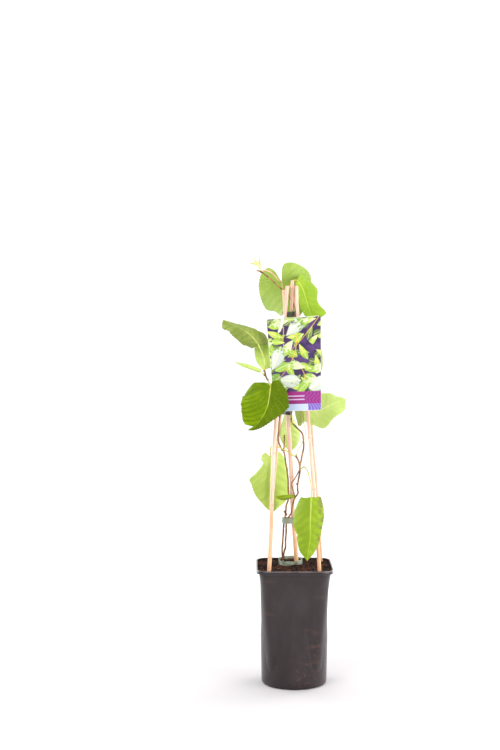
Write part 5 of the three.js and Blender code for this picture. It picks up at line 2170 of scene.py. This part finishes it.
    def stem(self) -> Piece:
        """Sweeps the stalk, which runs on under the blade as its midrib.

        Returns:
            The stalk.
        """
        path = Route(self.rib)
        under = []
        for at in (0.0, 0.08, 0.18, 0.34, 0.5, 0.66, 0.8, 0.9):
            _, up = self.directions(path, at)
            under.append(tuple(path.at(at) - up * 0.35))
        route = Route([*self.stalk, *under])
        length = route.length
        bare = Route([*self.stalk, under[0]]).length
        count = max(10, round(length / 3))
        marks = [length * i / count for i in range(1, count)]
        stations = [(0.0, 0.0), (0.0, self.stalk_radius * 1.3)]
        for mark in marks:
            swell = 0.35 * self.stalk_radius * exp(-((mark / 3) ** 2))
            radius = self.stalk_radius + swell
            if mark > bare:
                radius = blend(self.stalk_radius * 0.85, 0.22, (mark - bare) / (length - bare))
            stations.append((mark, radius))
        stations += [(length, 0.15), (length, 0.0)]
        piece = tube("stalk", route, stations, 12)
        piece.data.materials.append(self.stalk_finish.material())
        return piece

    def dress(self) -> None:
        """Builds the leaf and hands it over."""
        piece = join(self.node.replace("leaf", "foliage"), [self.blade(), self.stem()])
        soften(piece, 60)
        dress(piece, self.look.slot, [self.node])


LEAVES = (
    Leaf("leaf_front", LeafLook.DARK, ((-48, -16, 548), (-47, -26, 547), (-45, -42, 545),
         (-44, -55, 542)), 1.1, ((-44, -64, 538), (-46, -72, 523), (-50, -76, 504), (-59, -75, 486),
         (-70, -71, 472), (-82, -66, 463)), (25, -25), 0, 0,
         Half(34, -25, 8, own=((0, 0), (-0.12, 0.05), (-0.17, 0.25), (-0.15, 0.47), (-0.01, 0.76),
              (0.19, 1.01), (0.31, 1.09), (0.38, 0.97), (0.5, 0.73), (0.6, 0.6), (0.77, 0.45),
              (0.89, 0.25), (0.95, 0.15), (1, 0))),
         Half(46, -6, -16, own=((0, 0), (-0.09, 0.1), (-0.13, 0.3), (-0.16, 0.62), (-0.16, 0.79),
              (-0.1, 0.95), (-0.04, 1.13), (0.02, 1.21), (0.14, 1.19), (0.37, 1.06), (0.62, 0.97),
              (0.71, 0.86), (0.88, 0.7), (0.96, 0.48), (0.97, 0.25), (1, 0))), bite=((-74, 470.5),
              (-92, 474.3), (-92, 459)), tooth=1.0, puff=1.0),
    Leaf("leaf_upper_left", LeafLook.OLIVE, ((-54, -20, 566), (-53, -22, 574), (-54, -23, 583),
         (-57, -24, 592), (-60, -23, 601)), 1.1, ((-65, -20, 612), (-73, -24, 623), (-84, -24, 633),
         (-98, -18, 641), (-114, -10, 648), (-128, -3, 656)), (-7, 39), 0.57, 0.6,
         Half(28, -19, -32, 0.02, 0.06, 0.24, 0.72, dents=((0.3, 0.054, 0.15), (0.47, 0.064, 0.08),
              (0.72, 0.035, 0.26))),
         Half(38, -36, -50, 0.15, 0.22, 0.37, 0.89, dents=((0.32, 0.046, -0.07), (0.44, 0.057, 0.3),
              (0.75, 0.073, 0.07)))),
    Leaf("leaf_behind_shoot", LeafLook.PALE, ((-54, -20, 566), (-53, -16, 566)), 0.9,
         ((-52, -12, 568), (-55, -6, 581), (-57, 0, 596), (-60, 5, 616), (-62, 6, 636)), (-25, 22),
         0.46, 0.2,
         Half(16, -23, -17, 0, 0.11, 0.26, 0.95, shoulder=0.45, dents=((0.49, 0.085, -0.1),)),
         Half(17.5, 6, 5, 0.02, 0.14, 0.36, 0.99, dents=((0.28, 0.075, 0.09),))),
    Leaf("leaf_narrow", LeafLook.PALE, ((-53, -19, 558), (-56, -22, 559), (-58, -24, 562)), 0.8,
         ((-61, -26, 565), (-76, -31, 571), (-92, -30, 576), (-109, -22, 582)), (0, -1), 0.23, 0.4,
         Half(4.7, -20, -27, 0.01, 0.1, 0.23, 0.81, dents=((0.49, 0.08, 0.06),)),
         Half(4.5, -19, -25, 0, 0.14, 0.24, 0.85, dents=((0.45, 0.09, 0.14), (0.63, 0.08, -0.1)))),
    Leaf("leaf_top", LeafLook.SOFT, ((-60, -5, 741), (-55, -4, 744), (-48, -1, 743), (-42, 3, 740),
         (-35, 10, 734), (-29, 22, 728)), 1.1, ((-22, 34, 723), (-20, 34, 705), (-17, 35, 686),
         (-13, 37, 666), (-7, 40, 646)), (-10, 25), 0, 0,
         Half(53, 0, -30, own=((0, 0), (-0.19, 0.03), (-0.36, 0.09), (-0.43, 0.2), (-0.43, 0.44),
              (-0.35, 0.75), (-0.23, 1.02), (-0.07, 1.18), (0.16, 1.11), (0.4, 0.97), (0.62, 0.76),
              (0.86, 0.42), (1, 0))),
         Half(56, -41, 0, own=((0, 0), (-0.14, 0.11), (-0.27, 0.21), (-0.36, 0.38), (-0.35, 0.55),
              (-0.23, 0.75), (-0.03, 0.86), (0.23, 0.96), (0.52, 1), (0.62, 0.92), (0.67, 0.58),
              (0.78, 0.36), (0.9, 0.18), (1, 0))), PINK_STALK),
    Leaf("leaf_top_right", LeafLook.BRIGHT, ((-15, 10, 705), (-11, 11, 712), (-7, 12, 718),
         (-2, 13, 725), (2, 13, 727)), 1, ((7, 12, 724), (14, 10, 713), (20, 9, 696), (26, 10, 677),
         (34, 12, 653)), (-25, 25), 0.63, 0.9,
         Half(46.5, -15, -57, 0.13, 0.07, 0.21, 0.47, dents=((0.39, 0.06, -0.18),
              (0.71, 0.075, 0.09))),
         Half(17, 24, 19, 0, 0.13, 0.26, 1, shoulder=0.56), YELLOW_STALK),
    Leaf("leaf_behind_label", LeafLook.PALE, ((-8, -8, 537), (-1, -6, 541), (8, -5, 545)), 0.9,
         ((15, -3, 551), (23, -2, 569), (30, 0, 591), (34, 4, 616)), (-25, 9), 0.67, 0.68,
         Half(20, -14, -14, 0.05, 0.05, 0.21, 0.7),
         Half(26.5, 7, 3, 0, 0.13, 0.31, 0.83, shoulder=0.5, dents=((0.73, 0.085, 0.14),))),
    Leaf("leaf_right", LeafLook.SUNLIT, ((-6, -9, 500), (1, -7, 502), (10, -5, 498)), 1,
         ((18, -5, 487), (35, -5, 491), (55, -3, 498), (75, 2, 507), (93, 9, 513)), (10, -36), 0.49,
         0.48,
         Half(25.5, -9, -4, 0.03, 0.05, 0.37, 1, shoulder=0.6, dents=((0.45, 0.1, -0.14),
              (0.67, 0.1, -0.1))),
         Half(35, -12, 0, 0.03, 0.07, 0.29, 0.6, shoulder=0.48, dents=((0.36, 0.07, 0.15),
              (0.72, 0.065, -0.15)))),
    Leaf("leaf_under_label", LeafLook.SUNLIT, ((3, -9, 411), (5, -8, 419), (8, -6, 424),
         (12, -1, 431), (16, 3, 438), (20, 8, 446), (20, 11, 459)), 0.7, ((16, 12, 472),
         (14, 13, 489), (11, 14, 509), (11, 16, 532)), (-25, 1), 0.67, 0.64,
         Half(19.5, -14, -28, 0.12, 0.18, 0.36, 0.82, dents=((0.5, 0.075, 0.1),)),
         Half(19, 2, 0, 0.01, 0.11, 0.31, 1, shoulder=0.56)),
    Leaf("leaf_hanging", LeafLook.SUNLIT, ((-26, 4, 496), (-22, 11, 499), (-15, 23, 498)), 0.9,
         ((-9, 37, 487), (-7, 37, 469), (-5, 36, 451), (-4, 38, 433), (-5, 44, 415)), (-25, 21),
         0.53, 0.5,
         Half(21.5, -32, -28, 0, 0.1, 0.35, 1, shoulder=0.46, dents=((0.34, 0.09, 0.15),
              (0.6, 0.1, -0.09))),
         Half(23.5, 26, 15, 0, 0.12, 0.32, 1, shoulder=0.57)),
    Leaf("leaf_lower_left", LeafLook.PALE, ((3, -9, 411), (-3, -10, 413), (-8, -9, 417),
         (-15, -5, 421), (-20, -1, 423), (-26, 0, 426), (-33, 0, 428), (-39, 4, 428),
         (-42, 12, 425), (-43, 24, 417), (-42, 35, 409)), 1.1, ((-41, 42, 402), (-39, 46, 380),
         (-38, 48, 354), (-38, 48, 326), (-38, 47, 301)), (-25, 25), 0.36, 0.5,
         Half(36.5, -3, -35, 0.06, 0.13, 0.44, 0.91, dents=((0.29, 0.04, 0.13), (0.52, 0.114, 0.15),
              (0.84, 0.1, -0.22))),
         Half(50, 35, -3, 0.16, 0.21, 0.3, 0.8, dents=((0.21, 0.09, -0.08), (0.36, 0.036, 0.27),
              (0.49, 0.043, -0.16))), YELLOW_STALK),
    Leaf("leaf_lower_right", LeafLook.GREEN, ((10, -6, 388), (13, -11, 390), (16, -16, 393),
         (18, -22, 393), (22, -31, 389), (24, -40, 383), (26, -48, 375), (28, -54, 366),
         (28, -58, 356)), 1.1, ((28, -60, 345), (27, -67, 325), (26, -70, 303), (26, -68, 274),
         (23, -64, 250), (21, -60, 232)), (16, 1), 0.47, 0.45,
         Half(23, -15, -23, 0, 0.08, 0.27, 0.85, dents=((0.46, 0.09, -0.09), (0.73, 0.06, -0.11))),
         Half(40, -23, -21, 0, 0.14, 0.26, 0.88, dents=((0.27, 0.09, 0.09), (0.63, 0.04, 0.16)))),
    Leaf("leaf_small", LeafLook.GREEN, ((1, -3, 336), (-1, -6, 338)), 0.8, ((-3, -8, 339),
         (-12, -9, 338), (-22, -9, 337), (-34, -7, 338)), (-25, 4), 0.49, 0.46,
         Half(7.3, -18, -22, 0.14, 0.05, 0.3, 0.87),
         Half(4.7, -1, 0, 0.08, 0.07, 0.33, 0.93, dents=((0.36, 0.12, 0.14),))),
)


@dataclass
class GrowingTip:
    """The shoot's tip: a short stalk and three young leaves still rolled up."""

    stalk: tuple[Point, ...] = ((-60, -5, 742), (-62, -5, 747), (-65, -6, 752), (-67, -6.5, 754))
    rolls: tuple[tuple[tuple[Point, ...], float], ...] = (
        (((-65, -6, 752.5), (-70, -8, 755), (-75, -10, 756), (-80, -12, 756)), 1.7),
        (((-65, -6, 752.5), (-67, -5.5, 757), (-70, -4.5, 760), (-73, -3, 764)), 1.8),
        (((-62, -5, 747), (-62, -4.5, 753), (-62.5, -4, 760), (-62, -3, 768)), 1.5),
    )

    def roll(self, points: Sequence[Point], radius: float) -> Piece:
        """Sweeps one rolled leaf, widest in its middle and lumpy.

        Args:
            points: Its middle line.
            radius: Its girth.

        Returns:
            The roll.
        """
        route = Route(points)
        steps = 24
        shares = [i / steps for i in range(1, steps)]
        stations = [(0.0, 0.0)]
        stations += [(route.length * s, radius * (0.3 + 0.9 * sin(pi * s ** 0.8)))
                     for s in shares]
        stations.append((route.length, 0.0))
        return tube("roll", route, stations, 20, lambda spot: noise.noise(spot / 0.9) * 0.25)

    def dress(self) -> None:
        """Builds the tip and gives it its down."""
        route = Route(self.stalk)
        stations = [(route.length * i / 8, blend(1.2, 1.0, i / 8)) for i in range(9)]
        stalk = tube("stalk", route, [(0, 0), *stations, (route.length, 0)], 12)
        pieces = [stalk, *[self.roll(points, radius) for points, radius in self.rolls]]
        piece = join("shoot_tip", pieces)
        soften(piece, 60)
        dress(piece, "tip_cream", ["tip_leaves"], [DownyTip().material()])


# Studio


@dataclass
class Studio:
    """Pale sweep of paper, soft lights and the camera at the photo's place."""

    paper: Colour = (0.86, 0.86, 0.86, 1.0)
    # Colour of the painted shadow on the paper round the pot.
    shade: Colour = (0.62, 0.6, 0.615, 1.0)
    camera_spot: Point = (-79.7, -2400, 680)
    pitch: float = 2.94
    lens: float = 64.32
    lamps: tuple[tuple[str, Point, float, float], ...] = (
        ("key", (-1300, -1700, 1900), 1500, 36), ("fill", (1500, -900, 600), 1300, 24),
        ("left side", (-1150, 850, 420), 800, 13), ("right side", (1150, 850, 420), 800, 15),
        ("top", (200, 300, 2300), 1200, 18),
    )
    aim: Point = (0, 0, 400)
    sky: float = 0.75

    def backdrop(self) -> None:
        """Sweeps the floor up behind the plant without an edge."""
        long, back, bend, climb = 9000.0, 1300.0, 900.0, 50 / 23

        def place(across: float, along: float) -> Vector:
            """Gives a point of the paper.

            Args:
                across: Share of the width.
                along: Share of the length.

            Returns:
                The point.
            """
            x = (across - 0.5) * long
            travel = along * long - long / 2
            if travel <= back:
                return Vector((x, travel, 0))
            angle = min(pi / 2, (travel - back) / bend)
            over = travel - back - bend * pi / 2
            spot = Vector((x, back + bend * sin(angle), bend * (1 - cos(angle))))
            if over > 0:
                spot.z += over * climb
            return spot

        paper = grid("paper", 4, 120, place)
        soften(paper, 60)
        finish = Finish("paper")
        place = finish.place()
        away = finish.node("ShaderNodeVectorMath", {"operation": "LENGTH"}, {0: place}, "Value")
        grain = finish.cloud(place, 4, 2) * 0.1
        # Painted shadow: the paper is darker close round the pot and pales further out.
        colour = finish.mix(self.shade, self.paper, (away + grain).step(0.2, 0.9))
        behind = finish.node("ShaderNodeNewGeometry", output="Backfacing")
        paper.data.materials.append(finish.paint(colour, 0.9, Alpha=1.0 - behind))

    def lamp(self, name: str, spot: Point, size: float, power: float) -> None:
        """Adds one soft square light that faces the plant.

        Args:
            name: Name of the light.
            spot: Its place.
            size: Its side.
            power: Its watts.
        """
        deselect()
        bpy.ops.object.light_add(type="AREA", location=Vector(spot) * MM)
        lamp = bpy.context.object
        lamp.name = name
        lamp.data.size = size * MM
        lamp.data.energy = power
        aim = (Vector(self.aim) - Vector(spot)).to_track_quat("-Z", "Y")
        lamp.rotation_euler = aim.to_euler()

    def light(self) -> None:
        """Sets the lights and the sky."""
        for lamp in self.lamps:
            self.lamp(*lamp)
        world = bpy.data.worlds.new("sky")
        bpy.context.scene.world = world
        world.use_nodes = True
        sky = world.node_tree.nodes["Background"]
        sky.inputs["Color"].default_value = (1, 1, 1, 1)
        sky.inputs["Strength"].default_value = self.sky

    def camera(self) -> None:
        """Places the camera."""
        deselect()
        bpy.ops.object.camera_add(location=Vector(self.camera_spot) * MM)
        camera = bpy.context.object
        camera.rotation_euler = (radians(90 - self.pitch), 0, 0)
        camera.data.sensor_width = 36
        camera.data.lens = self.lens
        camera.data.clip_end = 50
        bpy.context.scene.camera = camera

    def build(self) -> None:
        """Builds the studio."""
        self.backdrop()
        self.light()
        self.camera()
        bpy.context.scene.view_settings.view_transform = "Standard"


def main() -> None:
    """Builds every piece and the studio."""
    logging.basicConfig(level=logging.INFO, format="%(name)s %(message)s")
    pot = Pot()
    parts = [pot, Soil(pot), Sleeve(), *CANES, *BINDINGS, Label(), LabelStrap(), Vine(),
             *LEAVES, GrowingTip()]
    for part in parts:
        part.dress()
    Studio().build()
    bpy.context.view_layer.update()


if __name__ == "__main__":
    main()
